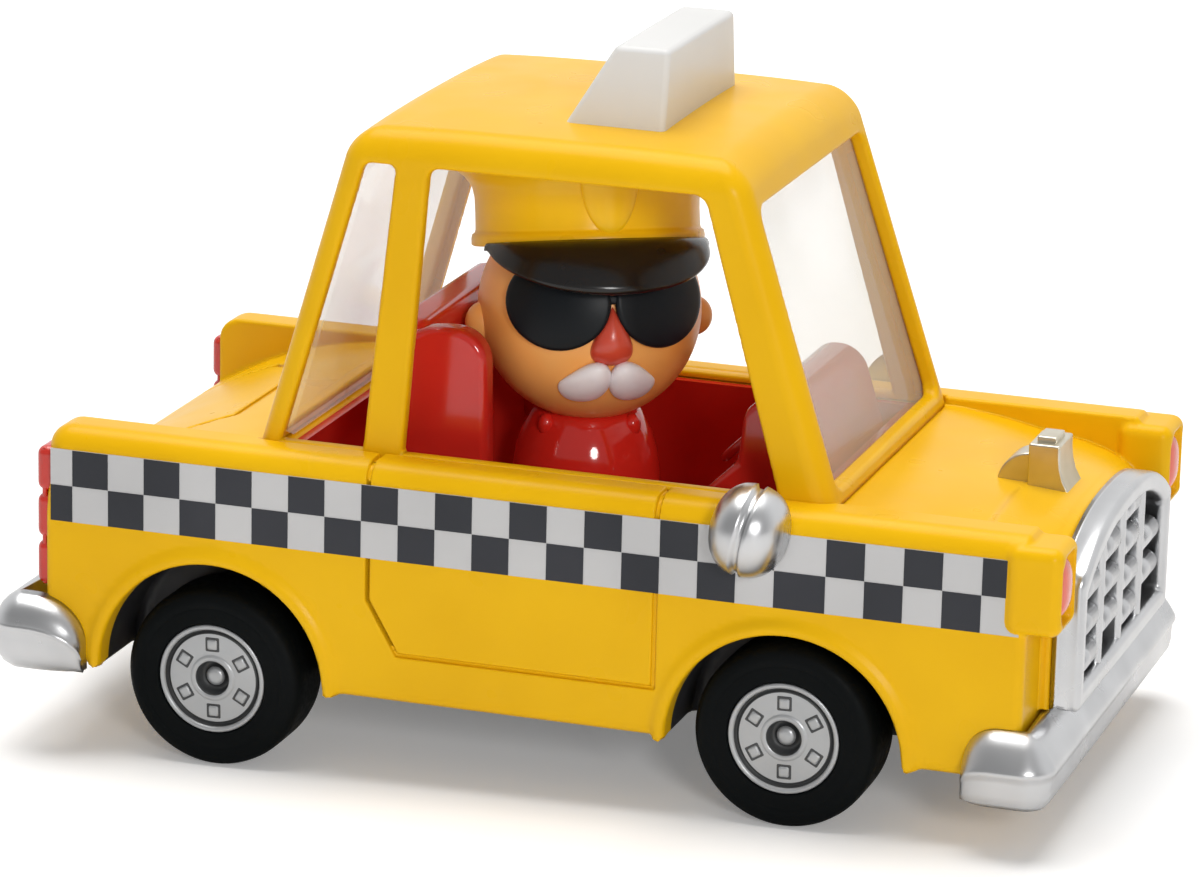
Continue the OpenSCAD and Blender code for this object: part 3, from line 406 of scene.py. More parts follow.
def noise(tree, vector, scale, detail):
    node = tree.nodes.new("ShaderNodeTexNoise")
    node.inputs["Scale"].default_value = scale
    node.inputs["Detail"].default_value = detail
    tree.links.new(vector, node.inputs["Vector"])
    return node.outputs["Fac"]


def ranged(tree, value, a, b, c, d):
    node = tree.nodes.new("ShaderNodeMapRange")
    for i, k in enumerate((a, b, c, d), 1):
        node.inputs[i].default_value = k
    tree.links.new(value, node.inputs[0])
    return node.outputs[0]


def mixed(tree, value, a, b):
    node = tree.nodes.new("ShaderNodeMix")
    node.data_type = "RGBA"
    tree.links.new(value, node.inputs[0])
    node.inputs[6].default_value = (*a, 1)
    node.inputs[7].default_value = (*b, 1)
    return node.outputs[2]


def blended(tree, value, a, b):
    node = tree.nodes.new("ShaderNodeMix")
    node.data_type = "FLOAT"
    for socket, k in zip((node.inputs[0], node.inputs[2], node.inputs[3]), (value, a, b)):
        if isinstance(k, float):
            socket.default_value = k
        else:
            tree.links.new(k, socket)
    return node.outputs[0]


def bumped(tree, value, strength, distance):
    node = tree.nodes.new("ShaderNodeBump")
    node.inputs["Strength"].default_value = strength
    node.inputs["Distance"].default_value = distance
    tree.links.new(value, node.inputs["Height"])
    return node.outputs["Normal"]


coatSet = {
    "broad": 60, "fine": 180, "grain": 260, "bump": 0.03, "bumpDepth": 0.00004, "metal": 0, "clear": 0,
    "clearRough": 0.1, "spec": 0.5, "soft": 0, "softRadius": (0.001, 0.0006, 0.0004),
}


def coat(name, dark, light, rough, own):
    s = {**coatSet, **own}
    mat, tree, out, at = newMaterial(name)
    shader = tree.nodes.new("ShaderNodeBsdfPrincipled")
    tree.links.new(shader.outputs[0], out.inputs["Surface"])
    blend = ranged(tree, noise(tree, at, s["broad"], 2), *noiseSpan, 0, 1)
    tree.links.new(mixed(tree, blend, dark, light), shader.inputs["Base Color"])
    fine = noise(tree, at, s["fine"], 1)
    tree.links.new(ranged(tree, fine, *noiseSpan, *rough), shader.inputs["Roughness"])
    grain = noise(tree, at, s["grain"], 0)
    tree.links.new(bumped(tree, grain, s["bump"], s["bumpDepth"]), shader.inputs["Normal"])
    for socket, key in (
        ("Metallic", "metal"), ("Coat Weight", "clear"), ("Coat Roughness", "clearRough"),
        ("Specular IOR Level", "spec"), ("Subsurface Weight", "soft"), ("Subsurface Radius", "softRadius"),
    ):
        shader.inputs[socket].default_value = s[key]
    return mat


# Each finish: dark and light colour, span of roughness, and what differs from coatSet
finishes = {
    "paint": ((0.79, 0.435, 0.003), (0.85, 0.485, 0.005), (0.27, 0.33), {"bump": 0.02, "spec": 0.13}),
    # the cap's yellow is the body paint painted lighter, standing in for light that the roof keeps off the
    # cap
    "capPaintedLight": ((0.96, 0.57, 0.005), (0.99, 0.61, 0.008), (0.27, 0.33), {"bump": 0.02, "spec": 0.3}),
    "silver": ((0.50, 0.505, 0.515), (0.59, 0.595, 0.605), (0.27, 0.34), {"metal": 1.0, "broad": 120}),
    "hub": ((0.36, 0.37, 0.38), (0.46, 0.47, 0.48), (0.30, 0.42), {"metal": 0.5, "fine": 2500, "bump": 0.1}),
    # this dark silver is painted shade, for the hollows of the hubs and the ground behind the grille bars
    "hubPaintedShade": ((0.035, 0.036, 0.038), (0.075, 0.078, 0.08), (0.4, 0.5), {"metal": 0.3, "fine": 2500}),
    "gold": ((0.50, 0.45, 0.33), (0.66, 0.62, 0.52), (0.28, 0.36), {"metal": 1.0, "broad": 200}),
    "pearl": ((0.70, 0.70, 0.695), (0.75, 0.75, 0.745), (0.30, 0.36), {"bump": 0.015, "spec": 0.2}),
    "stripeWhite": ((0.50, 0.50, 0.505), (0.56, 0.56, 0.565), (0.30, 0.42), {"fine": 2000}),
    "stripeBlack": ((0.020, 0.022, 0.028), (0.030, 0.032, 0.040), (0.34, 0.46), {"fine": 2500, "spec": 0.3}),
    "tyre": (
        (0.002, 0.003, 0.0033), (0.004, 0.005, 0.0055), (0.45, 0.58),
        {"fine": 1800, "bump": 0.06, "spec": 0.06},
    ),
    "red": ((0.56, 0.020, 0.013), (0.70, 0.029, 0.018), (0.11, 0.17), {"clear": 0.15}),
    "jacket": ((0.68, 0.020, 0.012), (0.82, 0.030, 0.018), (0.09, 0.13), {"clear": 0.15}),
    "lampRed": ((0.50, 0.018, 0.010), (0.62, 0.03, 0.014), (0.16, 0.24), {"clear": 0.3}),
    "salmon": ((0.72, 0.14, 0.10), (0.82, 0.19, 0.13), (0.16, 0.24), {"clear": 0.3, "soft": 0.1}),
    # the skin's own orange, painted lighter to stand in for light that the roof keeps off the face
    "skin": ((0.97, 0.40, 0.085), (0.99, 0.51, 0.155), (0.32, 0.42), {"broad": 90, "soft": 0.08}),
    "nose": ((0.58, 0.05, 0.028), (0.70, 0.09, 0.04), (0.26, 0.34), {"clear": 0.1}),
    "moustache": ((0.86, 0.82, 0.84), (0.95, 0.92, 0.94), (0.3, 0.42), {"broad": 300}),
    "shade": ((0.003, 0.005, 0.007), (0.005, 0.007, 0.010), (0.38, 0.46), {"spec": 0.2}),
    "blackGloss": ((0.005, 0.005, 0.005), (0.009, 0.008, 0.008), (0.20, 0.28), {"spec": 0.4}),
    "base": ((0.018, 0.018, 0.02), (0.03, 0.03, 0.033), (0.42, 0.56), {}),
    "steel": ((0.42, 0.43, 0.45), (0.58, 0.59, 0.61), (0.25, 0.4), {"metal": 1.0, "fine": 3000}),
}
mats = {name: coat(name, *row) for name, row in finishes.items()}
print("materials made")

# Body shell

bodySet = {
    "half": 27.7, "belt": 35.5, "sill": 8.95, "sillRound": 0.5, "tail": 54.3, "nose": 54.8, "noseRound": 0.6,
    "shoulder": 2.4, "shoulderZ": (25, 32), "fin": 2.6, "edge": 0.9,
    "foldHeight": 0.9, "foldSlope": (0.75, 0.66), "foldRound": 0.5,
    "bay": 22.1, "bayRound": 0.3, "bayEdge": 0.45, "topSlope": 0.95,
    "cabinFoot": 34.6, "cabinHalf": 23.35, "cabinX": (-31.75, 33.05), "cabinRound": 2.3, "cabinEdge": 0.12,
    "hoodMid": [
        (28, 34.6), (33.4, 34.6), (40, 34.35), (47, 34.0), (52, 33.6), (55, 33.35), (57, 33.1), (60, 32.6),
    ],
    "hoodFall": [
        (28, 0), (33.4, 0.05), (39.4, 0.5), (44.7, 1.3), (50, 1.9), (53, 2.9), (55, 4.6), (57, 6.9), (60, 9),
    ],
    "hoodPower": 2.7, "hoodHalf": 24,
    "bootRear": 28.2, "bootEnd": 53.5, "bootStart": 31.6, "bootPower": 2.1, "bootOver": 1.2,
    "lampLow": (52.6, 21.1, 25.35), "lampHigh": (58.6, 28.5, 34.8), "lampRound": 1.3, "lampJoin": 0.5,
    "recessLow": (57.0, 22.1, 26.35), "recessHigh": (60.0, 27.5, 33.8), "recessRound": 1.5, "recessEdge": 0.2,
    "noseHalf": 20.6, "lip": 56.0, "bumperTop": 15.05,
    "frontFrom": 48, "frontSlope": 0.9, "frontRound": 0.5, "frontEdge": 0.6, "frontJoin": 0.25,
    "axles": (-34.9, 29.4), "archZ": 9.2, "archRadius": 12.9, "archEdge": 0.35,
    "lipRadius": 13.55, "lipThick": 0.72, "lipIn": 0.25, "lipFlat": 0.9, "lipJoin": 0.8,
    "wellIn": 17.1, "wellRound": 0.8, "wellDark": 25.6, "wellSlack": 0.2,
    "tubX": (-28.6, 29.9), "deepX": (-19.7, 13.4), "deepWall": 1.8, "tubHalf": 21.4, "tubEdge": 0.3,
    "shelf": 23.9, "floor": 14.55,
    "plateX": 47.75, "plateHalf": 15.75, "wideX": (-19.75, 14.25), "wideHalf": 24.15, "plateTop": 10.75,
    "cavityX": 46.0, "cavityRoof": 20.7, "cavityLow": 12.75, "underEdge": 0.1,
    "bearingHalf": 3.0, "bearingTop": 13.2, "bearingOver": 1,
    "groove": 0.24, "grooveDepth": 0.42, "grooveEdge": 0.15, "grooveFrom": 23.4,
    "door": [(-17.0, 36), (-17.0, 20.4), (-13.6, 14.6), (15.05, 14.6), (15.05, 36)],
    "lid": [(-56, -15.5), (-44.5, -15.5), (-39, -10), (-39, 10), (-44.5, 15.5), (-56, 15.5)],
    "lidGroove": 0.32, "lidEdge": 0.12, "lidFrom": 33, "lidHalf": 21, "lidLow": 26,
}


def hoodTop(x, y, s):
    out = np.minimum(np.abs(y), s["hoodHalf"]) / s["bay"]
    return curve(x, s["hoodMid"]) - curve(x, s["hoodFall"]) * out ** s["hoodPower"]


def bootTop(x, s):
    t = np.clip((-x - s["bootStart"]) / (s["bootEnd"] - s["bootStart"]), 0, s["bootOver"])
    return s["bootRear"] + (s["cabinFoot"] - s["bootRear"]) * (1 - t ** s["bootPower"])


def bodyOutside(x, y, z, ay, s):
    out, up = s["foldSlope"]
    fold = (ay - s["half"]) * out + (s["sill"] + s["foldHeight"] - z) * up
    side = meet(ay - s["half"], fold, s["foldRound"])
    outline = meet(z - s["belt"], -s["tail"] - x, s["fin"])
    outline = meet(meet(outline, s["sill"] - z, s["sillRound"]), x - s["nose"], s["noseRound"])
    d = meet(outline, side, s["edge"] + (s["shoulder"] - s["edge"]) * smooth(z, *s["shoulderZ"]))
    top = np.where(x > 0, hoodTop(x, y, s), bootTop(x, s))
    d = cut(d, meet(ay - s["bay"], (top - z) * s["topSlope"], s["bayRound"]), s["bayEdge"])
    d = join(d, block(x, ay, z, s["lampLow"], s["lampHigh"], s["lampRound"]), s["lampJoin"])
    d = cut(d, block(x, ay, z, s["recessLow"], s["recessHigh"], s["recessRound"]), s["recessEdge"])
    front = meet(ay - s["noseHalf"], (z - hoodTop(x, y, s)) * s["frontSlope"], s["frontRound"])
    front = meet(front, x - s["lip"], s["frontEdge"])
    return join(d, most(front, s["bumperTop"] - z, s["frontFrom"] - x), s["frontJoin"])


def bodyHollows(d, x, z, ay, s):
    for ax in s["axles"]:
        rr = np.hypot(x - ax, z - s["archZ"])
        ring = np.hypot(rr - s["lipRadius"], (ay - s["half"] + s["lipIn"]) * s["lipFlat"]) - s["lipThick"]
        d = join(d, np.maximum(ring, s["sill"] - z), s["lipJoin"])
        d = cut(d, meet(rr - s["archRadius"], s["wellIn"] - ay, s["wellRound"]), s["archEdge"])
    seat = meet(slab(x, s["cabinX"]), ay - s["cabinHalf"], s["cabinRound"])
    d = cut(d, meet(seat, s["cabinFoot"] - z), s["cabinEdge"])
    tub = np.maximum(slab(x, s["tubX"]), s["shelf"] - z)
    deep = np.maximum(slab(x, s["deepX"]), s["floor"] - z)
    d = cut(d, np.maximum(np.minimum(tub, deep), ay - s["tubHalf"]), s["tubEdge"])
    plate = np.maximum(np.abs(x) - s["plateX"], ay - s["plateHalf"])
    wide = np.maximum(slab(x, s["wideX"]), ay - s["wideHalf"])
    d = cut(d, np.maximum(np.minimum(plate, wide), z - s["plateTop"]), s["underEdge"])
    low = (x > s["deepX"][0] - s["deepWall"]) & (x < s["deepX"][1] + s["deepWall"])
    roof = np.where(low, s["cavityLow"], s["cavityRoof"])
    d = cut(d, most(np.abs(x) - s["cavityX"], ay - s["plateHalf"], z - roof), s["underEdge"])
    for ax in s["axles"]:
        tall = np.maximum(np.abs(x - ax) - s["bearingHalf"], z - s["bearingTop"])
        d = cut(d, np.maximum(tall, ay - s["wellIn"] - s["bearingOver"]), s["underEdge"])
    return d


def bodyField(x, y, z, s=bodySet):
    ay = np.abs(y)
    d = bodyHollows(bodyOutside(x, y, z, ay, s), x, z, ay, s)
    shell = -(d + s["grooveDepth"])
    door = most(strokes(x, z, s["door"]) - s["groove"], shell, s["grooveFrom"] - ay)
    d = cut(d, door, s["grooveEdge"])
    lid = most(strokes(x, y, s["lid"]) - s["lidGroove"], shell, x + s["lidFrom"], ay - s["lidHalf"])
    return cut(d, np.maximum(lid, s["lidLow"] - z), s["lidEdge"])


bodyGrid = (
    spans((-55.2, -53, 0.5), (-53, -45.2, 0.8), (-45.2, -38.2, 0.36), (-38.2, -17.9, 0.8), (-17.9, -13, 0.3),
          (-13, 14.2, 1.2), (14.2, 15.9, 0.24), (15.9, 51.5, 0.8), (51.5, 59.2, 0.42)),
    bothSides(spans((0, 9, 1.3), (9, 16.1, 0.36), (16.1, 20.8, 0.9), (20.8, 29.2, 0.4))),
    spans((8.0, 13.8, 0.6), (13.8, 15.4, 0.26), (15.4, 20.6, 0.5), (20.6, 25, 0.7), (25, 36.2, 0.46)),
)


# painted shade: the faces inside the wheel arches are picked out to take the near-black base finish, for the
# shade in the wells
def inWellPaintedShade(x, y, z, s=bodySet):
    near = np.minimum(*[np.hypot(x - ax, z - s["archZ"]) for ax in s["axles"]])
    return (near < s["archRadius"] + s["wellSlack"]) & (np.abs(y) < s["wellDark"])


bodySkin = skin(bodyField, *bodyGrid)
# the arch wells take the near-black base finish as painted shade
place(bodySkin, "bodyShellSkin", "body_shell", mats["paint"], inWellPaintedShade, mats["base"])

# Cabin frame

cabinSet = {
    "foot": 35.0, "bottom": 34.62, "front": 32.9, "frontLean": 18.4, "back": 31.6, "backLean": 15.6,
    "half": 23.2, "sideLean": 1.6, "corner": 2.4, "wall": 1.8, "inEdge": 0.25,
    "roof": 71.0, "roofRound": 3.0, "roofSlope": 0.97, "roofMore": 0.4,
    "sideFall": 0.5, "sidePower": 2.4, "endFall": 0.35, "endPower": 3, "fallSpan": 20, "middle": 0.3,
    "edge": 0.55, "windowRound": 1.6, "quarterRound": 0.8, "doorRound": 1.2,
    "quarter": [(-28.8, 35.5), (-19.5, 35.5), (-16.5, 66.6), (-20.0, 66.6)],
    "door": [(-15, 35.5), (26.7, 35.5), (17.5, 66.6), (-12.8, 66.6)],
    "end": [(-20.35, 36.2), (20.35, 36.2), (19.55, 65.3), (-19.55, 65.3)],
    "sideFrom": 16, "endFrom": 12, "squareUnder": 6, "squareRound": 0.1,
}


def leaning(x, z, foot, lean, s):
    a = math.radians(lean)
    return (x - foot) * math.cos(a) + (z - s["foot"]) * math.sin(a)


def cabinField(x, y, z, s=cabinSet):
    ay = np.abs(y)
    front = leaning(x, z, s["front"], s["frontLean"], s)
    ends = np.where(x > 0, front, leaning(-x, z, s["back"], s["backLean"], s))
    side = leaning(ay, z, s["half"], s["sideLean"], s)
    span = s["fallSpan"]
    top = s["roof"] - s["sideFall"] * (ay / span) ** s["sidePower"]
    top = top - s["endFall"] * (np.abs(x + s["middle"]) / span) ** s["endPower"]
    d = meet(meet(ends, side, s["corner"]), (z - top) * s["roofSlope"], s["roofRound"])
    w = s["wall"]
    inside = np.maximum(np.maximum(ends, side) + w, z - top + w + s["roofMore"])
    d = cut(d, inside, s["inEdge"])
    for name in ("quarter", "door"):
        square = panel(x, z, s[name], s["squareRound"])
        hole = np.where(z < s["foot"] + s["squareUnder"], square, panel(x, z, s[name], s[name + "Round"]))
        d = cut(d, np.maximum(hole, s["sideFrom"] - ay), s["edge"])
    hole = np.maximum(panel(y, z, s["end"], s["windowRound"]), s["endFrom"] - np.abs(x))
    return np.maximum(cut(d, hole, s["edge"]), s["bottom"] - z)


cabinGrid = (spans((-32.6, 33.8, 0.4)), spans((-24, 24, 0.42)), spans((34.2, 71.6, 0.4)))
place(skin(cabinField, *cabinGrid), "cabinFrameSkin", "cabin_frame", mats["paint"])

# Roof sign

signSet = {
    "outline": [(-1.5, 69.8), (10.1, 69.8), (10.1, 79.3), (4.1, 79.3)],
    "half": 13.1, "taper": 1.5, "edge": 0.7,
}


def makeSign(s):
    bm = bmesh.new()
    foot, top = s["outline"][0][1], s["outline"][2][1]
    verts = addAcross(bm, s["outline"], s["half"], (), 0)
    for v in verts:
        v.co.y *= 1 - s["taper"] / s["half"] * (v.co.z - foot) / (top - foot)
    softEdges(bm, verts, s["edge"], steps=4)
    return bm


settle(makeSign(signSet), "roofSignSkin", "roof_sign", mats["pearl"])

# Chrome: hood ornament, grille, bumpers and mirrors

ornamentSet = {
    "tower": [
        (48.4, 32.6), (53.6, 32.6), (52.9, 33.6), (52.3, 34.7), (51.95, 35.9), (51.8, 37.2), (51.8, 38.5),
        (48.4, 38.5),
    ],
    "half": 3.0, "step": ((49.0, -1.8, 37.6), (51.2, 1.8, 39.1)), "edge": 0.22,
    "disc": (48.6, 33.4), "discRadius": 3.8, "discHalf": 2.0,
}


def makeOrnament(s):
    bm = bmesh.new()
    addAcross(bm, s["tower"], s["half"], (), s["edge"])
    addBox(bm, *s["step"], s["edge"])
    (x, z), h, r = s["disc"], s["discHalf"], s["discRadius"]
    softEdges(bm, addRod(bm, (x, -h, z), (x, h, z), r, r, steps=64), s["edge"], least=40)
    return bm


settle(makeOrnament(ornamentSet), "hoodOrnamentSkin", "hood_ornament", mats["gold"])

grilleSet = {
    "back": 56.05, "plate": 56.8, "front": 59.2, "half": 20.5, "foot": 15.1, "top": 33.9, "fall": 6.8,
    "span": 22.7, "power": 2.6, "archSteps": 14, "corner": 2.4, "rim": 2.2, "edge": 0.75,
    "ribs": (-9.05, 0.0, 9.05), "ribHalf": 0.7, "ribFront": 58.7,
    "ribRoot": 0.3, "ribIn": 1.5, "ribEdge": 0.6,
    "barX": 57.2, "barRadius": 1.4, "barFoot": 18.9, "pitch": 3.9, "rows": 4, "barGap": 0.5,
    "barEnd": 0.7, "barClear": 0.4,
}


def archTop(y, s):
    return s["top"] - s["fall"] * (abs(y) / s["span"]) ** s["power"]


def makeGrille(s):
    bm = bmesh.new()
    h, x, n = s["half"], s["back"], s["archSteps"]
    across = [h] + [(h - s["corner"]) * (1 - k / n) for k in range(2 * n + 1)] + [-h]
    points = [(x, -h, s["foot"]), (x, h, s["foot"])] + [(x, y, archTop(y, s)) for y in across]
    face = bm.faces.new([bm.verts.new(p) for p in points])
    plate = extrude(bm, [face], (s["plate"] - x, 0, 0))[1]
    bmesh.ops.recalc_face_normals(bm, faces=bm.faces)
    ring = bmesh.ops.inset_region(bm, faces=plate, thickness=s["rim"], use_even_offset=True)["faces"]
    rim = extrude(bm, ring, (s["front"] - s["plate"], 0, 0))[0]
    plate[0].material_index = 1  # painted shade: the ground behind the bars takes the dark second material, for the shade deep between them
    # the rim's corners are round all the way back, apart from the two outer ones under the arch
    raised, outer, low = set(rim), h - s["rim"] / 2, s["foot"] + s["rim"]
    turned = [v for v in rim if abs(v.co.y) < outer or v.co.z < low]
    deep = {e for v in turned for e in v.link_edges if e.other_vert(v) not in raised}
    softEdges(bm, rim, s["edge"], steps=4, least=35, also=deep)
    for rib in s["ribs"]:
        low = (s["plate"] - s["ribRoot"], rib - s["ribHalf"], s["foot"] + s["ribIn"])
        high = (s["ribFront"], rib + s["ribHalf"], archTop(rib, s) - s["ribIn"])
        addBox(bm, low, high, s["ribEdge"], steps=4)
    r, edges = s["barRadius"], (s["rim"] - h, *s["ribs"], h - s["rim"])
    for bay, (left, right) in enumerate(zip(edges, edges[1:])):
        lo, hi = left + s["barGap"] + r * s["barEnd"], right - s["barGap"] - r * s["barEnd"]
        for row in range(s["rows"]):
            z = s["barFoot"] + (row + bay % 2 / 2) * s["pitch"]  # every other bay is half a step up
            if z + r * s["barClear"] < min(archTop(lo, s), archTop(hi, s)) - s["rim"]:
                addRod(bm, (s["barX"], lo, z), (s["barX"], hi, z), r, r)
                for y in (lo, hi):
                    addBall(bm, (s["barX"], y, z), (r, r, r), u=24, v=14)
    return bm


grille = settle(makeGrille(grilleSet), "grilleSkin", "grille", mats["silver"])
# the second slot is painted shade for the deep ground behind the bars
grille.data.materials.append(mats["hubPaintedShade"])

frontBumperSet = {
    "face": 58.8, "half": 31.0, "corner": 3.4, "arm": 49.0, "nose": 54.85, "endFrom": 52.6, "endDrop": 0.42,
    "endPull": 0.5,
    "section": [
        (2.0, 6.95), (1.1, 7.12), (0.62, 7.65), (0.42, 8.6), (0.36, 10.0), (0.28, 10.4), (0.1, 10.75),
        (0.0, 11.05), (0.08, 11.4), (0.26, 11.75), (0.5, 12.15), (0.9, 12.75), (1.4, 13.45),
        (1.95, 14.1), (2.55, 14.6), (3.0, 14.9), (3.35, 15.02), (3.35, 6.95),
    ],
}
rearBumperSet = {
    "face": 60.3, "half": 31.0, "corner": 3.6, "arm": 49.4, "nose": 54.35, "endFrom": 55.4, "endDrop": 0.62,
    "endPull": 0.55,
    "section": [
        (2.9, 8.1), (1.9, 8.3), (1.1, 8.9), (0.55, 9.8), (0.26, 10.8), (0.22, 11.9), (0.3, 12.75),
        (0.1, 13.1), (0.0, 13.35), (0.16, 13.62), (0.45, 13.9), (0.7, 14.5), (1.1, 15.2), (1.75, 15.9),
        (2.6, 16.4), (3.5, 16.7), (3.5, 8.1),
    ],
}
bumperSet = {
    "cornerSteps": 10, "armSteps": 12, "armBand": 0.5, "footBand": 0.6, "footRise": 0.5, "noseBand": 0.3,
    "weld": 0.001,
}


def makeBumper(own):
    s = {**bumperSet, **own}
    bm = bmesh.new()
    ring = [bm.verts.new((s["face"] - inset, 0, z)) for inset, z in s["section"]]
    edges = [bm.edges.new(pair) for pair in zip(ring, ring[1:] + ring[:1])]
    turnX, turnY = s["face"] - s["corner"], s["half"] - s["corner"]
    edges = pullEdges(bm, edges, (0, turnY, 0))
    verts = list({v for e in edges for v in e.verts})
    out = bmesh.ops.spin(
        bm, geom=verts + edges, cent=(turnX, turnY, 0), axis=(0, 0, 1), angle=fullTurn / 4,
        steps=s["cornerSteps"],
    )
    edges, at, n = only(bmesh.types.BMEdge, out["geom_last"]), turnX, s["armSteps"]
    for k in range(1, n + 1):
        to = turnX - (turnX - s["arm"]) * math.sin(k * math.pi / (2 * n))
        edges = pullEdges(bm, edges, (to - at, 0, 0))
        at = to
    bmesh.ops.contextual_create(bm, geom=edges)
    low, inner = min(z for _, z in s["section"]), s["half"] - s["section"][-1][0]
    for v in bm.verts:
        t = min(max((s["endFrom"] - v.co.x) / (s["endFrom"] - s["arm"]), 0), 1)
        curl = 1 - math.sqrt(1 - t * t)
        if v.co.y > inner - s["armBand"]:
            rise = s["footRise"] * curl * (v.co.z < low + s["footBand"])
            v.co.z = low + (v.co.z - low) * (1 - s["endDrop"] * curl) + rise
            v.co.y = inner + (v.co.y - inner) * (1 - s["endPull"] * curl)
        elif v.co.x < turnX + s["noseBand"]:
            v.co.x = s["nose"]
    bmesh.ops.mirror(bm, geom=everything(bm), axis="Y", merge_dist=s["weld"])
    return bm


toRear = Matrix.Diagonal((-1, 1, 1, 1))
settle(makeBumper(frontBumperSet), "frontBumperSkin", "front_bumper", mats["silver"])
settle(makeBumper(rearBumperSet), "rearBumperSkin", "rear_bumper", mats["silver"], move=toRear)

mirrorSet = {
    "centre": (25.5, -28.6, 33.4), "half": 4.1, "tall": 4.97, "power": 2.3, "points": 32, "tilt": 12.0,
    "flat": -27.91, "groove": 0.28, "grooveDepth": 0.45, "grooveLip": 0.2, "grooveBand": 0.7,
}


def makeMirror(s):
    bm = bmesh.new()
    points = []
    for k in range(s["points"] + 1):
        t = -math.cos(math.pi * k / s["points"])
        points.append((s["half"] * t, 0, s["tall"] * max(0, 1 - abs(t) ** s["power"]) ** (1 / s["power"])))
    g, deep, band = s["groove"], s["tall"] - s["grooveDepth"], s["grooveBand"]
    lip = g + s["grooveLip"]
    groove = [(-lip, 0, s["tall"]), (-g, 0, deep), (g, 0, deep), (lip, 0, s["tall"])]
    points = [p for p in points if p[0] < -band] + groove + [p for p in points if p[0] > band]
    verts = addTurned(bm, points, (1, 0, 0), (0, 0, 0), steps=56)
    bmesh.ops.transform(bm, matrix=Matrix.Translation(s["centre"]) @ rotation(s["tilt"], "Y"), verts=verts)
    trimOff(bm, (0, s["flat"], 0), (0, 1, 0))
    return bm


settlePair(makeMirror(mirrorSet), "mirror", "mirror", mats["silver"])
print("chrome made")

# Lamps

headlampSet = {
    "centre": (56.9, -24.8, 30.05), "radii": (1.8, 2.35, 3.45), "square": 0.72, "roundPower": 1.6,
    "roundShare": 0.3, "backCut": -0.1,
}


def makeHeadlamp(s):
    bm = bmesh.new()
    for v in addBall(bm, (0, 0, 0), (1, 1, 1)):
        side = [math.copysign(abs(k) ** s["square"], k) for k in (v.co.y, v.co.z)]
        size = max(1, math.hypot(*[abs(k) ** s["roundPower"] for k in side]) ** s["roundShare"])
        v.co = (max(v.co.x, s["backCut"]), side[0] / size, side[1] / size)
    matrix = Matrix.Translation(s["centre"]) @ Matrix.Diagonal((*s["radii"], 1))
    bmesh.ops.transform(bm, matrix=matrix, verts=bm.verts)
    return bm


tailSet = {
    "x": -54.33, "y": (-27.2, -22.8), "lobes": (19.85, 25.15, 30.45), "lobeHalf": 2.5,
    "reach": 1.2, "sunk": 1.2, "round": 0.95,
    "plateZ": (17.4, 32.9), "plateOut": 0.55, "plateIn": 0.2, "plateEdge": 0.25,
}


def makeTailLamp(s):
    bm = bmesh.new()
    x, (y0, y1), (z0, z1), inset, h = s["x"], s["y"], s["plateZ"], s["plateIn"], s["lobeHalf"]
    addBox(bm, (x - s["plateOut"], y0 + inset, z0), (x, y1 - inset, z1), s["plateEdge"])
    for lobe in s["lobes"]:
        addBox(bm, (x - s["reach"], y0, lobe - h), (x + s["sunk"], y1, lobe + h), s["round"], steps=5)
    return bm


settlePair(makeHeadlamp(headlampSet), "headlamp", "headlamp", mats["salmon"])
settlePair(makeTailLamp(tailSet), "tailLamp", "tail_lamp", mats["lampRed"])

# Seat, dashboard and steering wheel

seatSet = {
    "half": 16.0, "inset": 0.25, "foot": 15.8, "top": 47.8, "topRound": 3.2, "back": -17.5, "thick": 5.4,
    "lean": 5.0, "edge": 1.7, "cushion": ((-17.4, -15.8, 15.8), (6.0, 15.8, 20.75)), "cushionEdge": 1.0,
    "wing": [(-19.4, 19.8), (-7.6, 19.8), (-8.3, 47.8), (-21.0, 47.8)], "wingRounds": (0, 0, 3.6, 7.8),
    "wingThick": 3.2, "wingEdge": 0.9,
}


def makeSeat(s):
    bm = bmesh.new()
    # the back stands a little inside its wings
    h, k, x, r = s["half"], s["half"] - s["inset"], s["back"], s["topRound"]
    corners = [(x, -k, s["foot"]), (x, k, s["foot"]), (x, k, s["top"]), (x, -k, s["top"])]
    for v in addOutline(bm, corners, (s["thick"], 0, 0), (0, 0, r, r), s["edge"], steps=4):
        v.co.x -= (v.co.z - s["foot"]) * math.tan(math.radians(s["lean"]))
    addBox(bm, *s["cushion"], s["cushionEdge"])
    for sign in (-1, 1):
        wing = [(x, sign * h, z) for x, z in s["wing"]]
        addOutline(bm, wing, (0, -sign * s["wingThick"], 0), s["wingRounds"], s["wingEdge"], steps=4)
    return bm


dashSet = {
    "outline": [
        (14.4, 25.15), (28.5, 25.15), (28.5, 33.4), (25.4, 43.0), (20.0, 43.0), (19.2, 35.9),
        (14.4, 31.2),
    ],
    "rounds": (0, 0, 0.9, 2.5, 2.5, 0, 0.9), "half": 13.5, "edge": 0.8,
}


def makeDash(s):
    bm = bmesh.new()
    addAcross(bm, s["outline"], s["half"], s["rounds"], s["edge"])
    return bm


steerSet = {
    "face": (16.8, 0.0, 33.55), "tilt": 44.4, "column": 1.1, "columnOver": 0.2, "columnRadii": (0.9, 0.7),
    "rim": 2.6, "thick": 0.55, "rimPoints": 12, "spokes": 3, "spoke": 0.35,
}


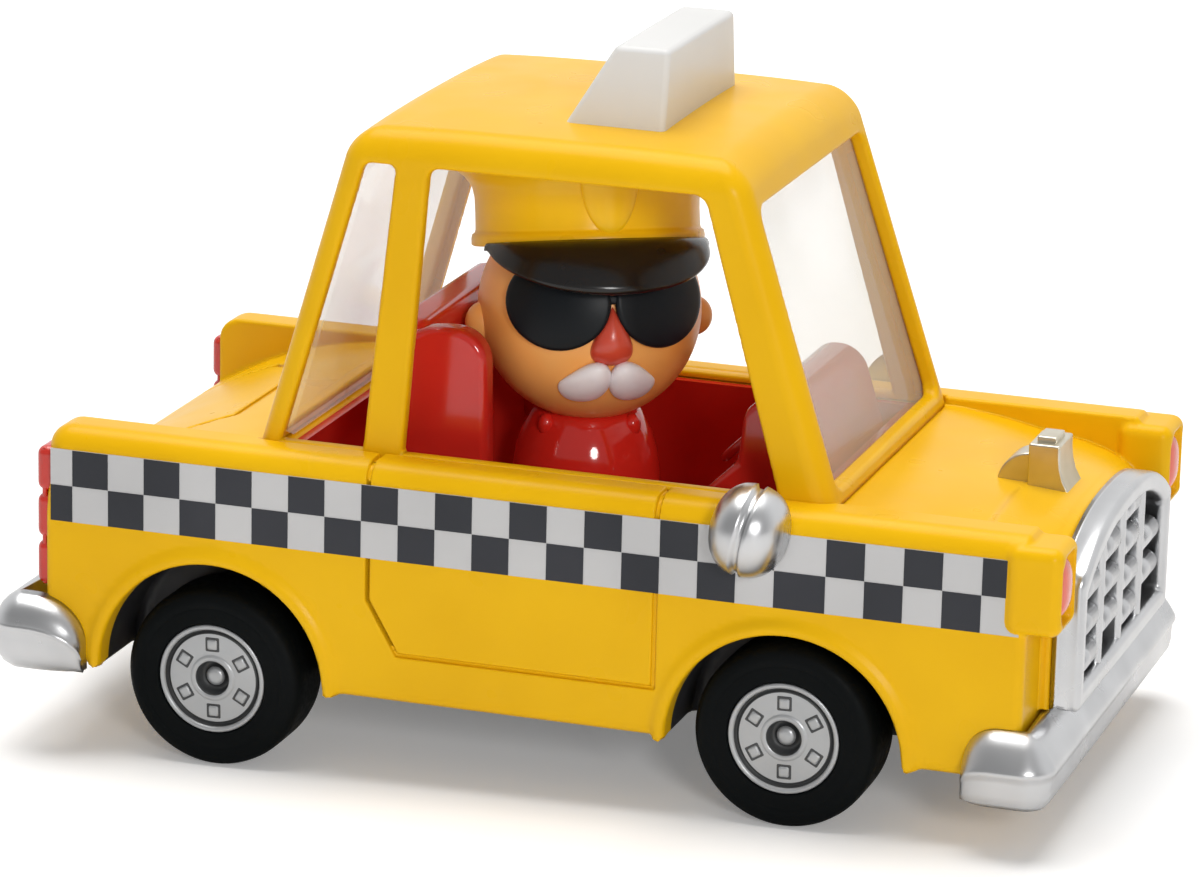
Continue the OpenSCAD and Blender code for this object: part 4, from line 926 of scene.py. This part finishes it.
def makeSteering(s):
    bm = bmesh.new()
    angles = [k * fullTurn / s["rimPoints"] for k in range(s["rimPoints"])]
    r, t, z = s["rim"], s["thick"], s["column"]
    ring = [(r + t * math.cos(a), 0, z + t * math.sin(a)) for a in angles]
    addTurned(bm, ring, (0, 0, 1), (0, 0, 0), steps=48, closed=True)
    addRod(bm, (0, 0, 0), (0, 0, z + s["columnOver"]), *s["columnRadii"])
    for k in range(s["spokes"]):
        a = fullTurn * k / s["spokes"]
        addRod(bm, (0, 0, z), (r * math.cos(a), r * math.sin(a), z), s["spoke"], s["spoke"], steps=12)
    bmesh.ops.transform(bm, matrix=Matrix.Translation(s["face"]) @ rotation(-s["tilt"], "Y"), verts=bm.verts)
    return bm


settle(makeSeat(seatSet), "seatSkin", "seat", mats["red"])
settle(makeDash(dashSet), "dashboardSkin", "dashboard", mats["red"])
settle(makeSteering(steerSet), "steeringWheelSkin", "steering_wheel", mats["red"])
print("interior made")

# Driver, drawn round the middle of the head with the face along +X

driverSet = {"at": (-1.9, 0.0, 47.5), "turn": -60.0, "tilt": 13.0, "head": 12.2}
headSet = {
    "ear": (-0.37, 11.6, -1.22), "earRadii": (1.9, 2.1, 2.2), "capAt": 6.9,
    "neck": 2.2, "neckZ": (-14.0, -11),
}


def makeHead(s):
    bm = bmesh.new()
    r = driverSet["head"]
    addBall(bm, (0, 0, 0), (r, r, r), u=72, v=44)
    trimOff(bm, (0, 0, s["capAt"]), (0, 0, 1))
    x, y, z = s["ear"]
    for sign in (-1, 1):
        addBall(bm, (x, sign * y, z), s["earRadii"], u=32, v=20)
    low, high = s["neckZ"]
    addRod(bm, (0, 0, low), (0, 0, high), s["neck"], s["neck"])
    return bm


noseSet = {
    "top": 0.3, "low": -6.0, "topHalf": 0.4, "lowHalf": 3.7, "topOut": 0.5, "lowOut": 2.5, "power": 0.85,
    "sunk": -0.25,
}


def makeNose(s):
    bm = bmesh.new()
    r = driverSet["head"]
    for v in addBall(bm, (0, 0, 0), (1, 1, 1), u=40):
        h = max((v.co.z + 1) / 2, 0) ** s["power"]
        y = v.co.y * (s["lowHalf"] + (s["topHalf"] - s["lowHalf"]) * h)
        z = s["low"] + (s["top"] - s["low"]) * (v.co.z + 1) / 2
        out = s["lowOut"] + (s["topOut"] - s["lowOut"]) * h
        v.co = (math.sqrt(r * r - y * y - z * z) + max(v.co.x, s["sunk"]) * out, y, z)
    return bm


moustacheSet = {
    "middle": 2.6, "reach": 2.7, "rise": -7.5, "droop": 1.0, "droopPower": 1.5, "tip": 0.5, "tipPower": 4,
    "thick": 2.05, "taper": 0.3, "out": 0.3, "depth": 0.85,
}


def makeMoustache(s):
    bm = bmesh.new()
    r = driverSet["head"] + s["out"]
    for sign in (-1, 1):
        for v in addBall(bm, (0, 0, 0), (1, 1, 1), u=40):
            along, up, out = v.co.y, v.co.z, v.co.x
            thick = s["thick"] * (1 - s["taper"] * along)
            droop = s["droop"] * max(along * 0.5 + 0.5, 0) ** s["droopPower"]
            y = sign * (s["middle"] + s["reach"] * along)
            z = s["rise"] + up * thick - droop + s["tip"] * max(along, 0) ** s["tipPower"]
            v.co = (math.sqrt(r * r - y * y - z * z) + out * thick * s["depth"], y, z)
    return bm


glassesSet = {
    "side": 5.15, "rise": 0.9, "radius": 4.95, "rings": 9, "inside": 12.24, "outside": 13.15, "edge": 0.4,
    "bridge": ((12.2, -1.5, 0.6), (12.9, 1.5, 1.7)), "bridgeEdge": 0.3,
}


def makeGlasses(s):
    bm = bmesh.new()
    for sign in (-1, 1):
        before = set(bm.verts)
        side, n = sign * s["side"], s["rings"]
        spoke = [(0, side + s["radius"] * k / n, s["rise"]) for k in range(n + 1)]
        verts = addTurned(bm, spoke, (1, 0, 0), (0, side, s["rise"]), steps=56)
        for v in verts:
            v.co.x = math.sqrt(s["inside"] ** 2 - v.co.y**2 - v.co.z**2)
        new = set(verts)
        for v in extrude(bm, [f for f in bm.faces if f.verts[0] in new], (0, 0, 0))[0]:
            v.co *= s["outside"] / s["inside"]
        softEdges(bm, fresh(bm, before), s["edge"], least=40)
    addBox(bm, *s["bridge"], s["bridgeEdge"])
    return bm


capSet = {
    "foot": [(0, 6.93), (12.45, 6.93), (12.68, 7.1), (12.7, 7.7), (12.6, 8.2), (12.3, 8.4)],
    "wall": [
        (12.22, 8.7), (12.2, 10.4), (12.25, 12.2), (12.5, 13.4), (13.3, 14.5), (14.1, 15.1),
        (13.9, 15.8),
    ],
    "crown": [(12.6, 16.6), (10.6, 17.4), (8.6, 17.8), (5.0, 17.9), (0, 17.9)],
    "badgeHalf": 3.2, "badgeTall": 5.6, "badgeAt": 13.6, "badgeOut": 1.05, "badgeFlare": 0.12,
    "badgeSunk": -0.4, "badgeTop": 17.0,
}


def makeCap(s):
    bm = bmesh.new()
    outline = s["foot"] + s["wall"] + s["crown"]
    addTurned(bm, [(r, 0, z) for r, z in outline], (0, 0, 1), (0, 0, 0), steps=96)
    wallR, wallZ = zip(*s["wall"])
    for v in addBall(bm, (0, 0, 0), (1, 1, 1), u=40):
        y = s["badgeHalf"] * v.co.y * (1 + s["badgeFlare"] * v.co.z)
        z = s["badgeAt"] + s["badgeTall"] * v.co.z
        r = float(np.interp(z, wallZ, wallR))
        out = s["badgeOut"] * max(v.co.x, s["badgeSunk"])
        v.co = (math.sqrt(r * r - y * y) + out, y, min(z, s["badgeTop"]))
    return bm


visorSet = {
    "root": 12.73, "reach": 16.36, "rise": 7.3, "fall": 5.8, "thick": 0.42, "shift": 4.2, "spread": 69,
    "bendFrom": 0.12, "bendBy": 1.3, "bendPoints": 8, "leastReach": 0.14,
    "roll": 0.7, "rollIn": 0.15, "rollFrom": 0.5, "rollStep": 0.52, "rollPoints": 9,
}


def makeVisor(s):
    bm = bmesh.new()
    root, rise, wide, tall, shift = s["root"], s["rise"], s["reach"] - s["root"], s["fall"], s["shift"]
    top, low = [], []
    for k in range(s["bendPoints"] + 1):
        a = s["bendFrom"] + s["bendBy"] * k / s["bendPoints"]
        out, up = math.sin(a) * wide, (math.cos(a) - 1) * tall
        nx, nz = math.sin(a) * tall, math.cos(a) * wide
        n = math.hypot(nx, nz)
        top.append((root + out + s["thick"] * nx / n, 0, rise + up + s["thick"] * nz / n))
        low.append((root + out - s["thick"] * nx / n, 0, rise + up - s["thick"] * nz / n))
    endX, endZ = (top[-1][0] + low[-1][0]) / 2, (top[-1][2] + low[-1][2]) / 2
    angles = [s["rollFrom"] - k * s["rollStep"] for k in range(s["rollPoints"])]
    roll = [(endX - s["rollIn"] + s["roll"] * math.cos(a), 0, endZ + s["roll"] * math.sin(a)) for a in angles]
    outline, angle = top[:-1] + roll + low[-2::-1], math.radians(2 * s["spread"])
    verts = addTurned(bm, outline, (0, 0, 1), (0, 0, 0), steps=64, closed=True, angle=angle)
    bmesh.ops.rotate(bm, verts=verts, cent=(0, 0, 0), matrix=rotation(-s["spread"], "Z", 3))
    around = s["reach"] - shift
    for v in verts:
        a, r = math.atan2(v.co.y, v.co.x), math.hypot(v.co.x, v.co.y)
        edge = shift * math.cos(a) + math.sqrt(around**2 - (shift * math.sin(a)) ** 2)
        k = max((edge - root) / wide, s["leastReach"])
        r = root + (r - root) * k
        v.co = (r * math.cos(a), r * math.sin(a), rise + (v.co.z - rise) * k)
    closeHoles(bm)
    return bm


torsoSet = {
    "outline": [
        (0, 20.8), (7.2, 20.8), (7.9, 21.3), (8.2, 23.5), (8.3, 26.5), (8.15, 29.5), (7.75, 32.0),
        (7.1, 34.0), (6.4, 35.2), (5.9, 36.1), (5.3, 36.5), (4.6, 36.2), (3.6, 35.85), (2.4, 35.5),
        (2.35, 31.0), (0, 31.0),
    ],
    "collar": (42, -58), "collarAt": 6.1, "collarZ": 35.3, "collarRadii": (0.95, 0.95, 1.3),
}


def makeTorso(s):
    bm = bmesh.new()
    lift = driverSet["at"][2]
    addTurned(bm, [(r, 0, z - lift) for r, z in s["outline"]], (0, 0, 1), (0, 0, 0), steps=72)
    for angle in s["collar"]:
        a = math.radians(angle)
        at = (s["collarAt"] * math.cos(a), s["collarAt"] * math.sin(a), s["collarZ"] - lift)
        addBall(bm, at, s["collarRadii"], u=24, v=16)
    return bm


figure = Matrix.Translation(driverSet["at"]) @ rotation(driverSet["turn"], "Z")
face = figure @ rotation(-driverSet["tilt"], "Y")  # the head leans back on the jacket
for name, bm, node, slotName, finish, move in (
    ("driverHeadSkin", makeHead(headSet), "driver_head", "skin", "skin", face),
    ("driverNoseSkin", makeNose(noseSet), "driver_nose", "driver_red", "nose", face),
    ("driverMoustacheSkin", makeMoustache(moustacheSet), "driver_moustache", "moustache", "moustache", face),
    ("driverSunglassesSkin", makeGlasses(glassesSet), "driver_sunglasses", "black_gloss", "shade", face),
    # the cap takes the body yellow painted lighter, as painted light
    ("driverCapSkin", makeCap(capSet), "driver_cap", "body_paint", "capPaintedLight", face),
    ("driverCapVisorSkin", makeVisor(visorSet), "driver_cap_visor", "black_gloss", "blackGloss", face),
    ("driverTorsoSkin", makeTorso(torsoSet), "driver_torso", "driver_red", "jacket", figure),
):
    settle(bm, name, node, mats[finish], move=move)
print("driver made")

# Wheels, drawn once for the near side and set on each axle end

tyreSet = {
    "face": -27.4, "axleZ": 10,
    "outline": [
        (6.12, 0.05), (6.4, 0.0), (7.7, 0.0), (7.85, 0.07), (8.0, 0.07), (8.15, 0.0), (8.6, 0.02),
        (9.2, 0.16), (9.62, 0.5), (9.88, 1.0), (9.98, 1.6), (10.0, 2.3), (10.0, 6.1), (9.98, 6.8),
        (9.88, 7.4), (9.62, 7.9), (9.2, 8.24), (8.6, 8.38), (6.4, 8.4), (6.12, 8.35),
    ],
}


def makeTyre(s):
    bm = bmesh.new()
    points = [(r, s["face"] + a, 0) for r, a in s["outline"]]
    addTurned(bm, points, (0, 1, 0), (0, 0, 0), steps=96, closed=True)
    return bm


hubSet = {
    "outline": [
        (0, 0.85), (0.5, 0.88), (0.85, 1.0), (1.05, 1.25), (1.1, 1.75), (1.75, 1.8), (1.82, 0.55),
        (1.95, 0.32), (2.25, 0.26), (2.5, 0.34), (2.62, 0.5), (4.95, 0.5), (5.1, 0.58), (5.2, 0.85),
        (5.36, 0.85), (5.46, 0.3), (5.58, 0.1), (5.8, 0.02), (5.98, 0.08), (6.08, 0.25), (6.08, 8.38),
        (4.9, 8.38), (4.9, 4.1), (2.5, 4.1), (2.5, 11.4), (1.53, 11.4), (1.53, 2.6), (0, 2.6),
    ],
    "squares": 6, "squareAt": 3.75, "squareHalf": 0.58, "squareUp": 0.3, "squareFoot": 0.9, "edge": 0.22,
    "turn": math.pi / 6, "shadeHalf": 0.9, "shadeUp": 0.46, "shadeFoot": 0.95,
    "paintedShadeRings": ((1.02, 1.9), (5.0, 5.44)), "paintedShadeDeep": 2,
}


def makeHub(s):
    bm = bmesh.new()
    face, at = tyreSet["face"], s["squareAt"]
    addTurned(bm, [(r, face + a, 0) for r, a in s["outline"]], (0, 1, 0), (0, 0, 0), steps=72)
    # painted shade: faces of the centre cup and of the groove inside the rim take the dark second material,
    # for the shade in these hollows
    for f in bm.faces:
        mid = f.calc_center_median()
        ringed = any(a < math.hypot(*mid.xz) < b for a, b in s["paintedShadeRings"])
        f.material_index = int(ringed and mid.y < face + s["paintedShadeDeep"])
    for k in range(s["squares"]):
        turn = Matrix.Rotation(fullTurn * k / s["squares"] + s["turn"], 3, "Y")
        for shade, part in enumerate(("square", "shade")):  # painted shade: a dark surround under each square, standing in for the shadow round its raised sides
            before = set(bm.faces)
            h, up, foot = (s[part + key] for key in ("Half", "Up", "Foot"))
            verts = addBox(bm, (at - h, face + up, -h), (at + h, face + foot, h), s["edge"])
            bmesh.ops.rotate(bm, verts=verts, cent=(0, 0, 0), matrix=turn)
            for f in bm.faces:
                if f not in before:
                    f.material_index = shade
    return bm


tyre, hub = makeTyre(tyreSet), makeHub(hubSet)
for end, ax in zip(("front", "rear"), reversed(bodySet["axles"])):
    move = Matrix.Translation((ax, 0, tyreSet["axleZ"]))
    for side in ("right", "left"):
        for bm, part, slotName in ((tyre, "tyre", "tyre"), (hub, "hub", "hub_paint")):
            name, node = end + side.capitalize() + part.capitalize(), part + "_" + end + "_" + side
            obj = settle(
                bm, name, node, mats[part], end + "_wheelset",
                flip=side == "left", level=True, move=move,
            )
            if part == "hub":
                # the second slot holds the hub's painted shade
                obj.data.materials.append(mats["hubPaintedShade"])
print("wheels made")

# Clear panes, and the CAD nodes that are shown as they are

# the panes' pale, cloudy colour is painted reflection
paneSet = {
    "dark": (0.72, 0.70, 0.60), "light": (0.88, 0.86, 0.79), "rough": (0.05, 0.1), "paintedReflectionCover": (0.36, 0.27),
    "cloud": 45, "grain": 300, "patch": (0.35, 0.65),
}


def paneMaterial(name, s):
    mat, tree, out, at = newMaterial(name)
    shader = tree.nodes.new("ShaderNodeBsdfPrincipled")
    tree.links.new(shader.outputs[0], out.inputs["Surface"])
    cloud, grain = noise(tree, at, s["cloud"], 2), noise(tree, at, s["grain"], 2)
    patch = ranged(tree, cloud, *s["patch"], 0, 1)
    tree.links.new(mixed(tree, patch, s["dark"], s["light"]), shader.inputs["Base Color"])
    tree.links.new(ranged(tree, grain, *noiseSpan, *s["rough"]), shader.inputs["Roughness"])
    # painted reflection: the pale, cloudy base colour is laid over the pane at this alpha, standing in for
    # the white surroundings it reflects
    tree.links.new(ranged(tree, cloud, *noiseSpan, *s["paintedReflectionCover"]), shader.inputs["Alpha"])
    return mat


mats["pane"] = paneMaterial("pane", paneSet)
shown = {
    "pane": ["windscreen", "rear_window"], "stripeWhite": ["stripe_left", "stripe_right"],
    "stripeBlack": ["stripe_checks_left", "stripe_checks_right"], "red": ["interior_tub"],
    "base": ["base_plate"], "steel": ["base_screws", "front_axle", "rear_axle"],
}
for finish, names in shown.items():
    for name in names:
        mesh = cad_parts[name].data
        mesh.materials.clear()
        mesh.materials.append(mats[finish])
print("CAD nodes dressed")

# Floor, sky and lamps

floorSet = {
    "size": 5.0, "dark": (0.93, 0.93, 0.935), "light": (0.95, 0.95, 0.95), "cloud": 8, "lift": 0.18,
    "fade": (0.25, 1.1),
}


def makeFloor(s):
    mesh = bpy.data.meshes.new("floor")
    h = s["size"] / 2
    mesh.from_pydata([(-h, -h, 0), (h, -h, 0), (h, h, 0), (-h, h, 0)], [], [(0, 1, 2, 3)])
    obj = bpy.data.objects.new("floor", mesh)
    scene.collection.objects.link(obj)
    mat, tree, out, at = newMaterial("floor")
    shader = tree.nodes.new("ShaderNodeBsdfDiffuse")
    cloud = noise(tree, at, s["cloud"], 2)
    tree.links.new(mixed(tree, cloud, s["dark"], s["light"]), shader.inputs["Color"])
    glow = tree.nodes.new("ShaderNodeEmission")
    path = tree.nodes.new("ShaderNodeLightPath")
    far = tree.nodes.new("ShaderNodeVectorMath")
    far.operation = "LENGTH"
    tree.links.new(at, far.inputs[0])
    # white again where the lamps fall off
    lift = ranged(tree, far.outputs["Value"], *s["fade"], s["lift"], 1.0)
    tree.links.new(blended(tree, path.outputs["Is Camera Ray"], 0.0, lift), glow.inputs["Strength"])
    both = tree.nodes.new("ShaderNodeAddShader")
    tree.links.new(shader.outputs[0], both.inputs[0])
    tree.links.new(glow.outputs[0], both.inputs[1])
    tree.links.new(both.outputs[0], out.inputs["Surface"])
    mesh.materials.append(mat)
    return obj


lampSet = {
    "top": {
        "at": (-0.14, 0.2, 1.7), "aim": (0, 0, 0.03), "size": 1.5, "power": 29.5, "tint": (1.0, 0.985, 0.96),
    },
    "front": {
        "at": (0.5, -0.8, 0.36), "aim": (0, 0, 0.04), "size": 0.2, "power": 3.0, "tint": (1.0, 0.99, 0.98),
    },
}


def makeLamp(name, s):
    data = bpy.data.lights.new(name, "AREA")
    data.shape = "DISK"
    data.size = s["size"]
    data.energy = s["power"]
    data.color = s["tint"]
    obj = bpy.data.objects.new(name, data)
    scene.collection.objects.link(obj)
    obj.location = s["at"]
    obj.rotation_mode = "QUATERNION"
    obj.rotation_quaternion = (Vector(s["aim"]) - Vector(s["at"])).to_track_quat("-Z", "Y")
    return obj


skySet = {"strength": 0.27, "seen": 1.0, "glossY": (-0.5, 0.2), "nearGloss": 0.4, "farGloss": 1.0}


def makeSky(s):
    world = bpy.data.worlds.new("sky")
    world.use_nodes = True
    tree = world.node_tree
    path = tree.nodes.new("ShaderNodeLightPath")
    split = tree.nodes.new("ShaderNodeSeparateXYZ")
    tree.links.new(tree.nodes.new("ShaderNodeTexCoord").outputs["Generated"], split.inputs[0])
    gloss = ranged(tree, split.outputs["Y"], *s["glossY"], s["nearGloss"], s["farGloss"])
    level = blended(tree, path.outputs["Is Glossy Ray"], s["strength"], gloss)
    level = blended(tree, path.outputs["Is Transmission Ray"], level, s["seen"])
    level = blended(tree, path.outputs["Is Camera Ray"], level, s["seen"])
    tree.links.new(level, tree.nodes["Background"].inputs["Strength"])
    tree.nodes["Background"].inputs["Color"].default_value = (1, 1, 1, 1)
    scene.world = world


makeSky(skySet)
makeFloor(floorSet)
[makeLamp(name, s) for name, s in lampSet.items()]
print("stage set")
